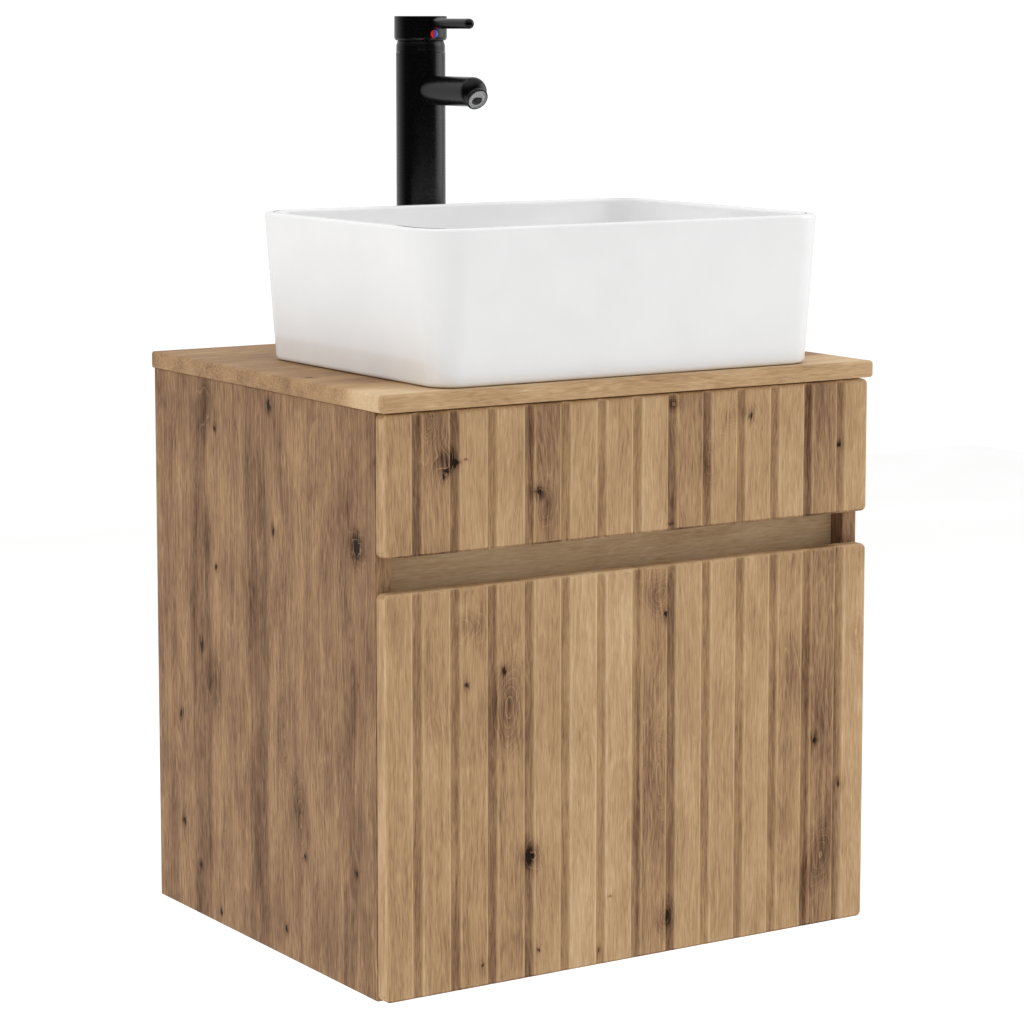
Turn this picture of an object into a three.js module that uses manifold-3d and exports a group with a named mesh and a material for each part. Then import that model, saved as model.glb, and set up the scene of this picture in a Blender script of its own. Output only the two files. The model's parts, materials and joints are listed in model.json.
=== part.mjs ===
// A wall-hung bathroom vanity unit: grooved oak-look cabinet with one deep drawer, worktop,
// vessel basin with push-open waste, and a tall single-lever mixer.
// Millimetres, +Z up, front towards -Y, origin in the middle of the footprint at the cabinet's bottom.
import * as THREE from "three";
import { mergeVertices } from "three/addons/utils/BufferGeometryUtils.js";
import Module from "manifold-3d";

const wasm = await Module();
wasm.setup();

// ---- Driving dimensions ----
// Cabinet. Y is counted from the side panels' front edges while the pieces are laid out.
const WIDTH = 500; // over both side panels
const DEPTH = 400; // side panel, front edge to wall
const HEIGHT = 494; // side panel, bottom to worktop
const BOARD = 15; // carcass boards
const JOINT_GAP = 0.3; // between pieces that touch

// Fronts
const FRONT_BOARD = 15;
const FRONT_STANDOFF = 1; // fronts stand this far off the side panels, on the bumpers
const FRONT_EDGE_RADIUS = 4;
const TOP_FRONT_HEIGHT = 119;
const TOP_FRONT_GAP = 1; // under the worktop
const GRIP_GAP = 29.5; // finger gap between the fronts
const DRAWER_FRONT_BOTTOM = 1.5; // above the cabinet's bottom
const GROOVES = 13;
const GROOVE_TO_EDGE = 30.4; // middle of the first groove to the front's side
const GROOVE_WIDTH = 10.5;
const GROOVE_DEPTH = 3;
const GROOVE_SLOPE = 2.2; // each groove wall leans over this width

// Worktop
const WORKTOP = 15;
const WORKTOP_SIDE_OVERHANG = 4;
const WORKTOP_FRONT_OVERHANG = 3; // past the fronts
const WORKTOP_EDGE_RADIUS = 3;
const WORKTOP_CORNER_RADIUS = 4;

// Rails and blocks
const GRIP_RAIL_SETBACK = 15.8; // behind the side panels' front edges
const GRIP_RAIL_DROP = 20; // below the drawer front's top edge
const HANGING_RAIL_HEIGHT = 80;
const HANGING_RAIL_SETBACK = 18; // wall to rail, room for the wall plate
const LOWER_RAIL_HEIGHT = 60;
const FRONT_BLOCK_WIDTH = 45;
const FRONT_BLOCK_HEIGHT = 70;
const CAM_RADIUS = 7.5;
const CAM_DEPTH = 11.5;
const CAM_EDGE_DISTANCE = 24; // cam centre to the side panel
const CAM_CLEARANCE = 0.2;
const CAM_RECESS = 0.3; // under face of the cam above the bottom panel's under face
const BUMPER_RADIUS = 4;

// Cabinet hangers
const HANGER_WIDTH = 15;
const HANGER_DEPTH = 36;
const HANGER_HEIGHT = 58;
const HANGER_BELOW_TOP = 12;
const HOOK_PLATE = 2.5;
const HOOK_HEIGHT = 10;
const HOOK_BELOW_HANGER_TOP = 12;
const HOOK_CLAW = 8;
const HOOK_CLAW_THICK = 3;
const HOOK_FROM_WALL = 4;

// Runners
const RUNNER_HEIGHT = 45;
const RUNNER_THICK = 12.7;
const RUNNER_SHEET = 1.2;
const RUNNER_CLEARANCE = 0.4; // between nested members
const RUNNER_FRONT_SETBACK = 3;
const RUNNER_REAR_CLEARANCE = 14; // runner to the lower rail
const RUNNER_BOTTOM = 62; // above the cabinet's bottom

// Drawer box
const DRAWER_BOARD = 12;
const DRAWER_SIDE_HEIGHT = 165;
const DRAWER_BOX_BOTTOM = 24; // above the cabinet's bottom
const TRAP_CUTOUT_WIDTH = 190;
const TRAP_CUTOUT_DEPTH = 190;

// Basin
const BASIN_WIDTH = 410;
const BASIN_TO_TAP = 20.5; // rim to the mixer's body
const BASIN_HEIGHT = 132;
const BASIN_TAPER = 11; // each side, rim to foot
const BASIN_RIM_RADIUS = 38; // outer corner seen from above
const BASIN_FOOT_RADIUS = 22;
const BASIN_WALL = 10;
const BASIN_FLOOR = 18;
const BASIN_PAST_WORKTOP = 1.5; // rim past the worktop's front edge
const BASIN_BOWL_RADIUS = 20; // bowl wall into its floor

// Waste
const DRAIN_TUBE_RADIUS = 21;
const DRAIN_TUBE_WALL = 4;
const DRAIN_HOLE_CLEARANCE = 2;
const DRAIN_FLANGE_OVERLAP = 9; // flange past its hole
const DRAIN_NUT_OVERLAP = 8; // nut and gasket past the hole
const DRAIN_FLANGE = 3;
const DRAIN_TAIL = 62; // below the worktop
const DRAIN_NUT_HEIGHT = 12;
const DRAIN_GASKET = 4;
const DRAIN_PLUG_GAP = 1; // shut, between the plug's rim and the flange
const DRAIN_PLUG_GUIDE_RADIUS = 4;
const DRAIN_PLUG_GUIDE = 30;
const DRAIN_PLUG_CROWN = 6;

// Mixer
const TAP_NUT_TO_RAIL = 2;
const TAP_NUT_OVERLAP = 1; // nut corners past the body's radius
const TAP_BODY_RADIUS = 23;
const TAP_HEIGHT = 304.5; // worktop to cap top
const TAP_CAP_HEIGHT = 22.5;
const TAP_CAP_WALL = 2.85;
const TAP_CAP_ROOF = 4;
const TAP_DOME_HEIGHT = 9; // tilt centre to the cap's skirt
const TAP_DOME_WALL = 3;
const DOME_BELOW_CENTRE = 2; // the dome nut starts this far under the tilt centre
const TAP_DOME_STEP = 0.2; // dome smaller than the body
const TAP_DOME_OPENING_SHARE = 0.66; // opening radius over dome radius
const TAP_TILT_CLEARANCE = 0.45; // skirt's swept radius past the body
const TAP_BORE_CLEARANCE = 0.9;
const TAP_FLOOR = 12; // solid foot of the body
const TAP_SHANK_RADIUS = 16;
const TAP_SHANK_WALL = 5;
const TAP_HOLE_CLEARANCE = 1.5;
const TAP_GASKET = 2;
const TAP_WASHER = 3;
const TAP_NUT = 9;
const TAP_SHANK_BELOW = 34; // below the worktop
const CARTRIDGE_RADIUS = 17.5;
const CARTRIDGE_HEIGHT = 23;
const CARTRIDGE_BELOW_CENTRE = 13;
const STEM_RADIUS = 4;
const STEM_BALL_RADIUS = 5;
const STEM_BALL_CLEARANCE = 0.5;
const LEVER_RADIUS = 4.7;
const LEVER_REACH = 90; // tap axis to lever tip
const LEVER_BELOW_TOP = 7;
const LEVER_STUD_RADIUS = 2.5;
const LEVER_STUD_CLEARANCE = 0.3;
const DOT_RADIUS = 3.8;
const DOT_BELOW_TOP = 16.6;
const SPOUT_RADIUS = 13.5;
const SPOUT_HEIGHT = 236; // worktop to spout axis
const SPOUT_REACH = 98;
const SPOUT_NIPPLE_RADIUS = 8;
const SPOUT_BORE_RADIUS = 5.5;
const OUTLET_RADIUS = 10.6;
const OUTLET_LENGTH = 13.6; // spout axis to the outlet's rim, along the outlet
const OUTLET_TILT = 60; // degrees from straight down, leaning forward
const OUTLET_WALL = 1.5;
const AERATOR_WALL = 1.2;
const AERATOR_HEIGHT = 5;

// Roundness
const ROUND_SIDES = 32;
const SMALL_SIDES = 20;
const CORNER_STEPS = 5;

// ---- Derived places ----
const HALF = WIDTH / 2;
const INNER_HALF = HALF - BOARD;
const FRONT_FACE = -(FRONT_STANDOFF + FRONT_BOARD);
const WORKTOP_FRONT = FRONT_FACE - WORKTOP_FRONT_OVERHANG;
const WORKTOP_BOTTOM = HEIGHT + JOINT_GAP;
const WORKTOP_TOP = WORKTOP_BOTTOM + WORKTOP;
const TOP_FRONT_TOP = HEIGHT - TOP_FRONT_GAP;
const TOP_FRONT_BOTTOM = TOP_FRONT_TOP - TOP_FRONT_HEIGHT;
const DRAWER_FRONT_TOP = TOP_FRONT_BOTTOM - GRIP_GAP;
const GRIP_RAIL_BOTTOM = DRAWER_FRONT_TOP - GRIP_RAIL_DROP;
const BASIN_BOTTOM = WORKTOP_TOP + JOINT_GAP;
const BASIN_RIM_FRONT = WORKTOP_FRONT - BASIN_PAST_WORKTOP;
const BASIN_FLOOR_TOP = BASIN_BOTTOM + BASIN_FLOOR;
const TAP_NUT_RADIUS = TAP_BODY_RADIUS + TAP_NUT_OVERLAP;
const TAP_Y = DEPTH - HANGING_RAIL_SETBACK - BOARD - TAP_NUT_TO_RAIL - TAP_NUT_RADIUS;
const BASIN_DEPTH = TAP_Y - TAP_BODY_RADIUS - BASIN_TO_TAP - BASIN_RIM_FRONT;
const BASIN_CENTRE_Y = BASIN_RIM_FRONT + BASIN_DEPTH / 2;
const TAP_BASE = WORKTOP_TOP + TAP_GASKET;
const CAP_TOP = WORKTOP_TOP + TAP_HEIGHT;
const CAP_BOTTOM = CAP_TOP - TAP_CAP_HEIGHT;
const TILT_CENTRE = CAP_BOTTOM - TAP_DOME_HEIGHT;
const TAP_SKIRT_RADIUS = Math.sqrt((TAP_BODY_RADIUS + TAP_TILT_CLEARANCE) ** 2 - TAP_DOME_HEIGHT ** 2);
const TAP_CAP_RADIUS = TAP_SKIRT_RADIUS + TAP_CAP_WALL;
const TAP_DOME_RADIUS = TAP_BODY_RADIUS - TAP_DOME_STEP;
const TAP_BORE_RADIUS = CARTRIDGE_RADIUS + TAP_BORE_CLEARANCE;
const TAP_HOLE_RADIUS = TAP_SHANK_RADIUS + TAP_HOLE_CLEARANCE;
const AERATOR_RADIUS = OUTLET_RADIUS - OUTLET_WALL;
const DRAIN_BORE_RADIUS = DRAIN_TUBE_RADIUS - DRAIN_TUBE_WALL;
const DRAIN_HOLE_RADIUS = DRAIN_TUBE_RADIUS + DRAIN_HOLE_CLEARANCE;
const DRAIN_FLANGE_RADIUS = DRAIN_HOLE_RADIUS + DRAIN_FLANGE_OVERLAP;
const DRAIN_NUT_RADIUS = DRAIN_HOLE_RADIUS + DRAIN_NUT_OVERLAP;
const GROOVE_PITCH = (WIDTH - 2 * GROOVE_TO_EDGE) / (GROOVES - 1);
const RUNNER_LENGTH = DEPTH - HANGING_RAIL_SETBACK - BOARD - RUNNER_REAR_CLEARANCE - RUNNER_FRONT_SETBACK;
const DRAWER_HALF = INNER_HALF - RUNNER_THICK - JOINT_GAP;
const DRAWER_BOX_TOP = DRAWER_BOX_BOTTOM + DRAWER_SIDE_HEIGHT;
const FOOTPRINT_CENTRE_Y = (DEPTH + Math.min(WORKTOP_FRONT, BASIN_RIM_FRONT)) / 2;

// ---- Finishes ----
function finish(color, roughness, metalness = 0) {
  return new THREE.MeshStandardMaterial({ color, roughness, metalness });
}
const oak = finish("#ae9270", 0.62);
const oakStrip = finish("#82694f", 0.62);
const ceramic = finish("#ebebea", 0.12);
const mattBlack = finish("#161616", 0.45, 0.2);
const zincSteel = finish("#a9abad", 0.35, 0.9);
const chrome = finish("#d5d6d8", 0.08, 1);
const brass = finish("#b79a52", 0.3, 1);
const blackRubber = finish("#202020", 0.8);
const clearBumper = finish("#d9d9d4", 0.4);
const whitePlastic = finish("#e6e6e2", 0.45);
const greyPlastic = finish("#8b8d8f", 0.5);
const redEnamel = finish("#d5301f", 0.3);
const blueEnamel = finish("#3b4fb8", 0.3);

// ---- Shape helpers ----
const unit = new THREE.Group();
const cabinet = new THREE.Group();
cabinet.position.y = -FOOTPRINT_CENTRE_Y;
unit.add(cabinet);

function addPiece(name, geometry, material, group = cabinet) {
  const mesh = new THREE.Mesh(geometry, material);
  mesh.name = name;
  group.add(mesh);
  return mesh;
}

// A closed geometry as a solid for joining and cutting.
function solid(geometry) {
  const bare = new THREE.BufferGeometry();
  bare.setAttribute("position", geometry.getAttribute("position").clone());
  if (geometry.index) bare.setIndex(geometry.index.clone());
  const merged = mergeVertices(bare, 1e-4);
  return new wasm.Manifold(
    new wasm.Mesh({
      numProp: 3,
      vertProperties: new Float32Array(merged.attributes.position.array),
      triVerts: new Uint32Array(merged.index.array),
    }),
  );
}

// A solid back as a geometry with flat faces.
function shaped(made) {
  const mesh = made.getMesh();
  const geometry = new THREE.BufferGeometry();
  geometry.setAttribute("position", new THREE.BufferAttribute(new Float32Array(mesh.vertProperties), 3));
  geometry.setIndex(new THREE.BufferAttribute(new Uint32Array(mesh.triVerts), 1));
  const flat = geometry.toNonIndexed();
  flat.computeVertexNormals();
  return flat;
}

function block(x0, x1, y0, y1, z0, z1) {
  const geometry = new THREE.BoxGeometry(x1 - x0, y1 - y0, z1 - z0);
  return geometry.translate((x0 + x1) / 2, (y0 + y1) / 2, (z0 + z1) / 2);
}

// Profile points [radius, height], bottom to top on the outside, turned about Z.
function turned(points, sides = ROUND_SIDES) {
  const profile = points.map(([r, z]) => new THREE.Vector2(r, z));
  return new THREE.LatheGeometry(profile, sides).rotateX(Math.PI / 2);
}

function rod(radius, z0, z1, sides = ROUND_SIDES) {
  return turned([[0, z0], [radius, z0], [radius, z1], [0, z1]], sides);
}

function ring(outer, inner, z0, z1, sides = ROUND_SIDES) {
  return turned([[inner, z0], [outer, z0], [outer, z1], [inner, z1], [inner, z0]], sides);
}

// A nut with flats outside and a round hole.
function nut(outer, hole, flats, z0, z1) {
  return cut(rod(outer, z0, z1, flats), rod(hole, z0 - 1, z1 + 1));
}

// Points of an arc, angles in degrees.
function arc(cx, cy, radius, from, to, steps) {
  return Array.from({ length: steps + 1 }, (_, i) => {
    const a = THREE.MathUtils.degToRad(from + ((to - from) * i) / steps);
    return [cx + radius * Math.cos(a), cy + radius * Math.sin(a)];
  });
}

// A rectangle with round corners, anticlockwise.
function roundedLoop(x0, x1, y0, y1, radius, steps = CORNER_STEPS) {
  return [
    ...arc(x1 - radius, y1 - radius, radius, 0, 90, steps),
    ...arc(x0 + radius, y1 - radius, radius, 90, 180, steps),
    ...arc(x0 + radius, y0 + radius, radius, 180, 270, steps),
    ...arc(x1 - radius, y0 + radius, radius, 270, 360, steps),
  ];
}

// An outline in X and Y pushed up from z0 to z1.
function extruded(points, z0, z1) {
  const shape = new THREE.Shape(points.map(([x, y]) => new THREE.Vector2(x, y)));
  return new THREE.ExtrudeGeometry(shape, { depth: z1 - z0, bevelEnabled: false }).translate(0, 0, z0);
}

// Loops of equal length stacked bottom to top, skinned and capped.
function lofted(loops) {
  const count = loops[0].points.length;
  const corners = loops.flatMap(({ z, points }) => points.map(([x, y]) => [x, y, z]));
  const faces = [];
  loops.slice(1).forEach((_, level) => {
    for (let i = 0; i < count; i += 1) {
      const a = level * count + i;
      const b = level * count + ((i + 1) % count);
      faces.push([a, b, b + count], [a, b + count, a + count]);
    }
  });
  const last = (loops.length - 1) * count;
  for (let i = 1; i < count - 1; i += 1) {
    faces.push([0, i + 1, i], [last, last + i, last + i + 1]);
  }
  const geometry = new THREE.BufferGeometry();
  geometry.setAttribute("position", new THREE.Float32BufferAttribute(corners.flat(), 3));
  geometry.setIndex(faces.flat());
  return geometry;
}

function cut(body, ...tools) {
  return shaped(tools.reduce((rest, tool) => rest.subtract(solid(tool)), solid(body)));
}

function joined(...bodies) {
  return bodies.map(solid).reduce((whole, next) => whole.add(next));
}

// A block given for the right side, placed there or mirrored to the left.
const SIDES = [["left", -1], ["right", 1]];
function mirroredBlock(side, x0, x1, y0, y1, z0, z1) {
  const [low, high] = side < 0 ? [-x1, -x0] : [x0, x1];
  return block(low, high, y0, y1, z0, z1);
}

// ---- Carcass ----
function makeCarcass() {
  for (const [name, side] of SIDES) {
    addPiece(`side_panel_${name}`, mirroredBlock(side, INNER_HALF, HALF, 0, DEPTH, 0, HEIGHT), oak);
  }
  const inner = INNER_HALF - JOINT_GAP;
  const camPlaces = [-1, 1].flatMap((side) =>
    [0.2, 0.8].map((share) => [side * (INNER_HALF - CAM_EDGE_DISTANCE), DEPTH * share]));
  const camHoleTop = CAM_RECESS + CAM_DEPTH + CAM_CLEARANCE;
  const camHoles = camPlaces.map(([x, y]) =>
    rod(CAM_RADIUS + CAM_CLEARANCE, -1, camHoleTop, SMALL_SIDES).translate(x, y, 0));
  addPiece("bottom_panel", cut(block(-inner, inner, 0, DEPTH, 0, BOARD), ...camHoles), oak);
  camPlaces.forEach(([x, y], i) => {
    const slot = block(-CAM_RADIUS * 0.8, CAM_RADIUS * 0.8, -0.8, 0.8, -1, 1.6);
    addPiece(`cam_lock_${i + 1}`,
      cut(rod(CAM_RADIUS, 0, CAM_DEPTH, SMALL_SIDES), slot).translate(x, y, CAM_RECESS), zincSteel);
  });

  const railBack = DEPTH - HANGING_RAIL_SETBACK;
  const hookSlots = SIDES.map(([, side]) => hookSlot(side, railBack - BOARD - 1, railBack + 1));
  addPiece("hanging_rail", cut(block(-inner, inner, railBack - BOARD, railBack,
    HEIGHT - HANGING_RAIL_HEIGHT, HEIGHT), ...hookSlots), oak);
  addPiece("lower_rail", block(-inner, inner, railBack - BOARD, railBack,
    BOARD + JOINT_GAP, BOARD + JOINT_GAP + LOWER_RAIL_HEIGHT), oak);
  addPiece("grip_rail", block(-inner, inner, GRIP_RAIL_SETBACK, GRIP_RAIL_SETBACK + BOARD,
    GRIP_RAIL_BOTTOM, HEIGHT), oakStrip);
}

// ---- Fronts ----
// Outline of a grooved board seen from above: flat back, softened arrises, upright grooves.
function groovedOutline() {
  const back = -FRONT_STANDOFF;
  const radius = FRONT_EDGE_RADIUS;
  const face = [];
  for (let i = 0; i < GROOVES; i += 1) {
    const centre = (i - (GROOVES - 1) / 2) * GROOVE_PITCH;
    const half = GROOVE_WIDTH / 2;
    face.push([centre - half, FRONT_FACE], [centre - half + GROOVE_SLOPE, FRONT_FACE + GROOVE_DEPTH],
      [centre + half - GROOVE_SLOPE, FRONT_FACE + GROOVE_DEPTH], [centre + half, FRONT_FACE]);
  }
  return [
    [HALF, back], [-HALF, back],
    ...arc(-HALF + radius, FRONT_FACE + radius, radius, 180, 270, 3),
    ...face,
    ...arc(HALF - radius, FRONT_FACE + radius, radius, 270, 360, 3),
  ];
}

function makeTopFront() {
  addPiece("top_front_panel", extruded(groovedOutline(), TOP_FRONT_BOTTOM, TOP_FRONT_TOP), oak);
  const low = TOP_FRONT_BOTTOM + (TOP_FRONT_HEIGHT - FRONT_BLOCK_HEIGHT) / 2;
  for (const [name, side] of SIDES) {
    addPiece(`front_block_${name}`, mirroredBlock(side, INNER_HALF - JOINT_GAP - FRONT_BLOCK_WIDTH,
      INNER_HALF - JOINT_GAP, -FRONT_STANDOFF + JOINT_GAP, GRIP_RAIL_SETBACK - JOINT_GAP,
      low, low + FRONT_BLOCK_HEIGHT), oak);
    const bumper = rod(BUMPER_RADIUS, 0, FRONT_STANDOFF - 2 * JOINT_GAP, SMALL_SIDES).rotateX(Math.PI / 2)
      .translate(side * (HALF - BOARD / 2), -JOINT_GAP, DRAWER_FRONT_TOP - BOARD);
    addPiece(`bumper_${name}`, bumper, clearBumper);
  }
}

// ---- Worktop ----
function makeWorktop() {
  const half = HALF + WORKTOP_SIDE_OVERHANG;
  const radius = WORKTOP_EDGE_RADIUS;
  const layers = [
    ...arc(-radius, WORKTOP_BOTTOM + radius, radius, -90, 0, 3),
    ...arc(-radius, WORKTOP_TOP - radius, radius, 0, 90, 3),
  ];
  const loops = layers.map(([out, z]) => ({
    z,
    points: roundedLoop(-half - out, half + out, WORKTOP_FRONT - out, DEPTH, WORKTOP_CORNER_RADIUS, 3),
  }));
  const holes = [
    rod(TAP_HOLE_RADIUS, WORKTOP_BOTTOM - 1, WORKTOP_TOP + 1).translate(0, TAP_Y, 0),
    rod(DRAIN_HOLE_RADIUS, WORKTOP_BOTTOM - 1, WORKTOP_TOP + 1).translate(0, BASIN_CENTRE_Y, 0),
  ];
  addPiece("worktop", cut(lofted(loops), ...holes), oak);
}

// ---- Cabinet hangers ----
// A housing on each side panel holds a steel hook that reaches through the hanging rail to the wall plate.
function hangerPlaces() {
  const outer = INNER_HALF - JOINT_GAP;
  const middle = outer - HANGER_WIDTH / 2;
  const railFront = DEPTH - HANGING_RAIL_SETBACK - BOARD;
  const top = HEIGHT - HANGER_BELOW_TOP;
  return {
    outer,
    railFront,
    top,
    plate: [middle - HOOK_PLATE / 2, middle + HOOK_PLATE / 2],
    armTop: top - HOOK_BELOW_HANGER_TOP,
    armStart: railFront - HANGER_DEPTH * 0.7,
  };
}

// The slot that one hook slides in, from y0 to y1.
function hookSlot(side, y0, y1) {
  const { plate, armTop } = hangerPlaces();
  return mirroredBlock(side, plate[0] - JOINT_GAP, plate[1] + JOINT_GAP, y0, y1,
    armTop - HOOK_HEIGHT - JOINT_GAP, armTop + JOINT_GAP);
}

function makeHangers() {
  const { outer, railFront, top, plate, armTop, armStart } = hangerPlaces();
  const back = railFront - JOINT_GAP;
  const claw = DEPTH - HOOK_FROM_WALL;
  for (const [name, side] of SIDES) {
    const housing = mirroredBlock(side, outer - HANGER_WIDTH, outer, back - HANGER_DEPTH, back,
      top - HANGER_HEIGHT, top);
    const slot = hookSlot(side, armStart - JOINT_GAP, back + 1);
    addPiece(`hanger_housing_${name}`, cut(housing, slot), whitePlastic);
    const arm = mirroredBlock(side, ...plate, armStart, claw, armTop - HOOK_HEIGHT, armTop);
    const hook = mirroredBlock(side, ...plate, claw - HOOK_CLAW_THICK, claw, armTop - HOOK_HEIGHT - HOOK_CLAW,
      armTop - 1);
    addPiece(`hanger_hook_${name}`, shaped(joined(arm, hook)), zincSteel);
  }
}

// ---- Runners ----
// A channel section in X (depth) and Z (height), open towards the drawer, run along Y.
function channel(side, x0, x1, height, opensInwards) {
  const low = RUNNER_BOTTOM + (RUNNER_HEIGHT - height) / 2;
  const high = low + height;
  const y0 = RUNNER_FRONT_SETBACK;
  const y1 = y0 + RUNNER_LENGTH;
  const body = mirroredBlock(side, x0, x1, y0, y1, low, high);
  const [h0, h1] = opensInwards ? [x0 - 1, x1 - RUNNER_SHEET] : [x0 + RUNNER_SHEET, x1 + 1];
  const hollow = mirroredBlock(side, h0, h1, y0 - 1, y1 + 1, low + RUNNER_SHEET, high - RUNNER_SHEET);
  return cut(body, hollow);
}

function makeRunners() {
  const outer = INNER_HALF - JOINT_GAP;
  const inner = INNER_HALF - RUNNER_THICK;
  const wrap = RUNNER_SHEET + RUNNER_CLEARANCE;
  for (const [name, side] of SIDES) {
    const members = [
      ["outer", inner + RUNNER_SHEET, outer, RUNNER_HEIGHT, true],
      ["middle", inner + wrap, outer - wrap, RUNNER_HEIGHT - 2 * wrap, true],
      ["inner", inner, outer - 2 * wrap, RUNNER_HEIGHT - 4 * wrap, false],
    ];
    for (const [member, x0, x1, height, opensInwards] of members) {
      addPiece(`runner_${member}_${name}`, channel(side, x0, x1, height, opensInwards), zincSteel);
    }
  }
}

// ---- Drawer ----
function makeDrawer() {
  addPiece("drawer_front", extruded(groovedOutline(), DRAWER_FRONT_BOTTOM, DRAWER_FRONT_TOP), oak);
  const y0 = -FRONT_STANDOFF + JOINT_GAP;
  const y1 = y0 + RUNNER_LENGTH;
  const z0 = DRAWER_BOX_BOTTOM;
  const z1 = DRAWER_BOX_TOP;
  const inside = DRAWER_HALF - DRAWER_BOARD - JOINT_GAP;
  const cutHalf = TRAP_CUTOUT_WIDTH / 2;
  const cutFront = y1 - TRAP_CUTOUT_DEPTH;
  const wallFloor = z0 + DRAWER_BOARD + JOINT_GAP;
  for (const [name, side] of SIDES) {
    addPiece(`drawer_side_${name}`, mirroredBlock(side, DRAWER_HALF - DRAWER_BOARD, DRAWER_HALF,
      y0, y1, z0, z1), oak);
    addPiece(`drawer_back_${name}`, mirroredBlock(side, cutHalf + JOINT_GAP, inside, y1 - DRAWER_BOARD, y1,
      wallFloor, z1), oak);
    addPiece(`liner_side_${name}`, mirroredBlock(side, cutHalf - DRAWER_BOARD, cutHalf, cutFront, y1,
      wallFloor, z1), oak);
  }
  const linerInner = cutHalf - DRAWER_BOARD - JOINT_GAP;
  const linerBack = cutFront + DRAWER_BOARD;
  addPiece("liner_front", block(-linerInner, linerInner, cutFront, linerBack, wallFloor, z1), oak);
  const notch = block(-linerInner, linerInner, linerBack, y1 + 1, z0 - 1, wallFloor);
  addPiece("drawer_bottom", cut(block(-inside, inside, y0, y1, z0, z0 + DRAWER_BOARD), notch), oak);
}

// ---- Basin and waste ----
function basinLoop(inset, z, radius) {
  return {
    z,
    points: roundedLoop(-BASIN_WIDTH / 2 + inset, BASIN_WIDTH / 2 - inset,
      BASIN_CENTRE_Y - BASIN_DEPTH / 2 + inset, BASIN_CENTRE_Y + BASIN_DEPTH / 2 - inset, radius),
  };
}

// How far the outside leans in at a height above the foot.
function basinInset(above) {
  return BASIN_TAPER * (1 - above / BASIN_HEIGHT);
}

function basinRadius(above) {
  return BASIN_FOOT_RADIUS + ((BASIN_RIM_RADIUS - BASIN_FOOT_RADIUS) * above) / BASIN_HEIGHT;
}

function makeBasin() {
  const edge = 3;
  const outside = [
    basinLoop(BASIN_TAPER + edge, BASIN_BOTTOM, BASIN_FOOT_RADIUS),
    basinLoop(basinInset(edge), BASIN_BOTTOM + edge, basinRadius(edge)),
    basinLoop(basinInset(BASIN_HEIGHT - edge), BASIN_BOTTOM + BASIN_HEIGHT - edge,
      basinRadius(BASIN_HEIGHT - edge)),
    basinLoop(1, BASIN_BOTTOM + BASIN_HEIGHT, BASIN_RIM_RADIUS - 1),
  ];
  const bowlSteps = arc(0, 0, BASIN_BOWL_RADIUS, -90, 0, 4);
  const bowl = bowlSteps.map(([out, up]) => {
    const above = BASIN_FLOOR + BASIN_BOWL_RADIUS + up;
    const inset = basinInset(above) + BASIN_WALL + BASIN_BOWL_RADIUS - out;
    return basinLoop(inset, BASIN_BOTTOM + above, Math.max(basinRadius(above) - BASIN_WALL, BASIN_WALL));
  });
  bowl.push(basinLoop(BASIN_WALL, BASIN_BOTTOM + BASIN_HEIGHT + 1, BASIN_RIM_RADIUS - BASIN_WALL));
  const drainHole = rod(DRAIN_HOLE_RADIUS, BASIN_BOTTOM - 1, BASIN_FLOOR_TOP + 1)
    .translate(0, BASIN_CENTRE_Y, 0);
  addPiece("basin", cut(lofted(outside), lofted(bowl), drainHole), ceramic);
}

function makeWaste() {
  const seat = BASIN_FLOOR_TOP + JOINT_GAP;
  const flangeTop = seat + DRAIN_FLANGE;
  const tail = WORKTOP_BOTTOM - DRAIN_TAIL;
  const place = (geometry) => geometry.translate(0, BASIN_CENTRE_Y, 0);
  const rim = DRAIN_FLANGE_RADIUS;
  addPiece("drain_body", place(turned([
    [DRAIN_BORE_RADIUS, tail], [DRAIN_TUBE_RADIUS, tail], [DRAIN_TUBE_RADIUS, seat],
    [rim, seat], [rim - 1, flangeTop - 1], [DRAIN_TUBE_RADIUS, flangeTop],
    [DRAIN_BORE_RADIUS, flangeTop - 2], [DRAIN_BORE_RADIUS, tail],
  ])), chrome);
  const gasketTop = WORKTOP_BOTTOM - JOINT_GAP;
  const gasketBottom = gasketTop - DRAIN_GASKET;
  addPiece("drain_gasket", place(ring(DRAIN_NUT_RADIUS, DRAIN_TUBE_RADIUS + JOINT_GAP,
    gasketBottom, gasketTop)), blackRubber);
  const nutTop = gasketBottom - JOINT_GAP;
  addPiece("drain_nut", place(nut(DRAIN_NUT_RADIUS, DRAIN_TUBE_RADIUS + JOINT_GAP, 10,
    nutTop - DRAIN_NUT_HEIGHT, nutTop)), greyPlastic);
  const plugBottom = flangeTop + DRAIN_PLUG_GAP;
  const plugRim = rim - 3;
  addPiece("drain_plug", place(turned([
    [0, plugBottom - DRAIN_PLUG_GUIDE], [DRAIN_PLUG_GUIDE_RADIUS, plugBottom - DRAIN_PLUG_GUIDE],
    [DRAIN_PLUG_GUIDE_RADIUS, plugBottom], [plugRim - 1, plugBottom],
    [plugRim, plugBottom + DRAIN_PLUG_CROWN / 4], [plugRim - 3, plugBottom + DRAIN_PLUG_CROWN * 0.7],
    [0, plugBottom + DRAIN_PLUG_CROWN],
  ])), chrome);
}

// ---- Mixer ----
const tap = new THREE.Group();
tap.position.y = TAP_Y;
cabinet.add(tap);

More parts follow.
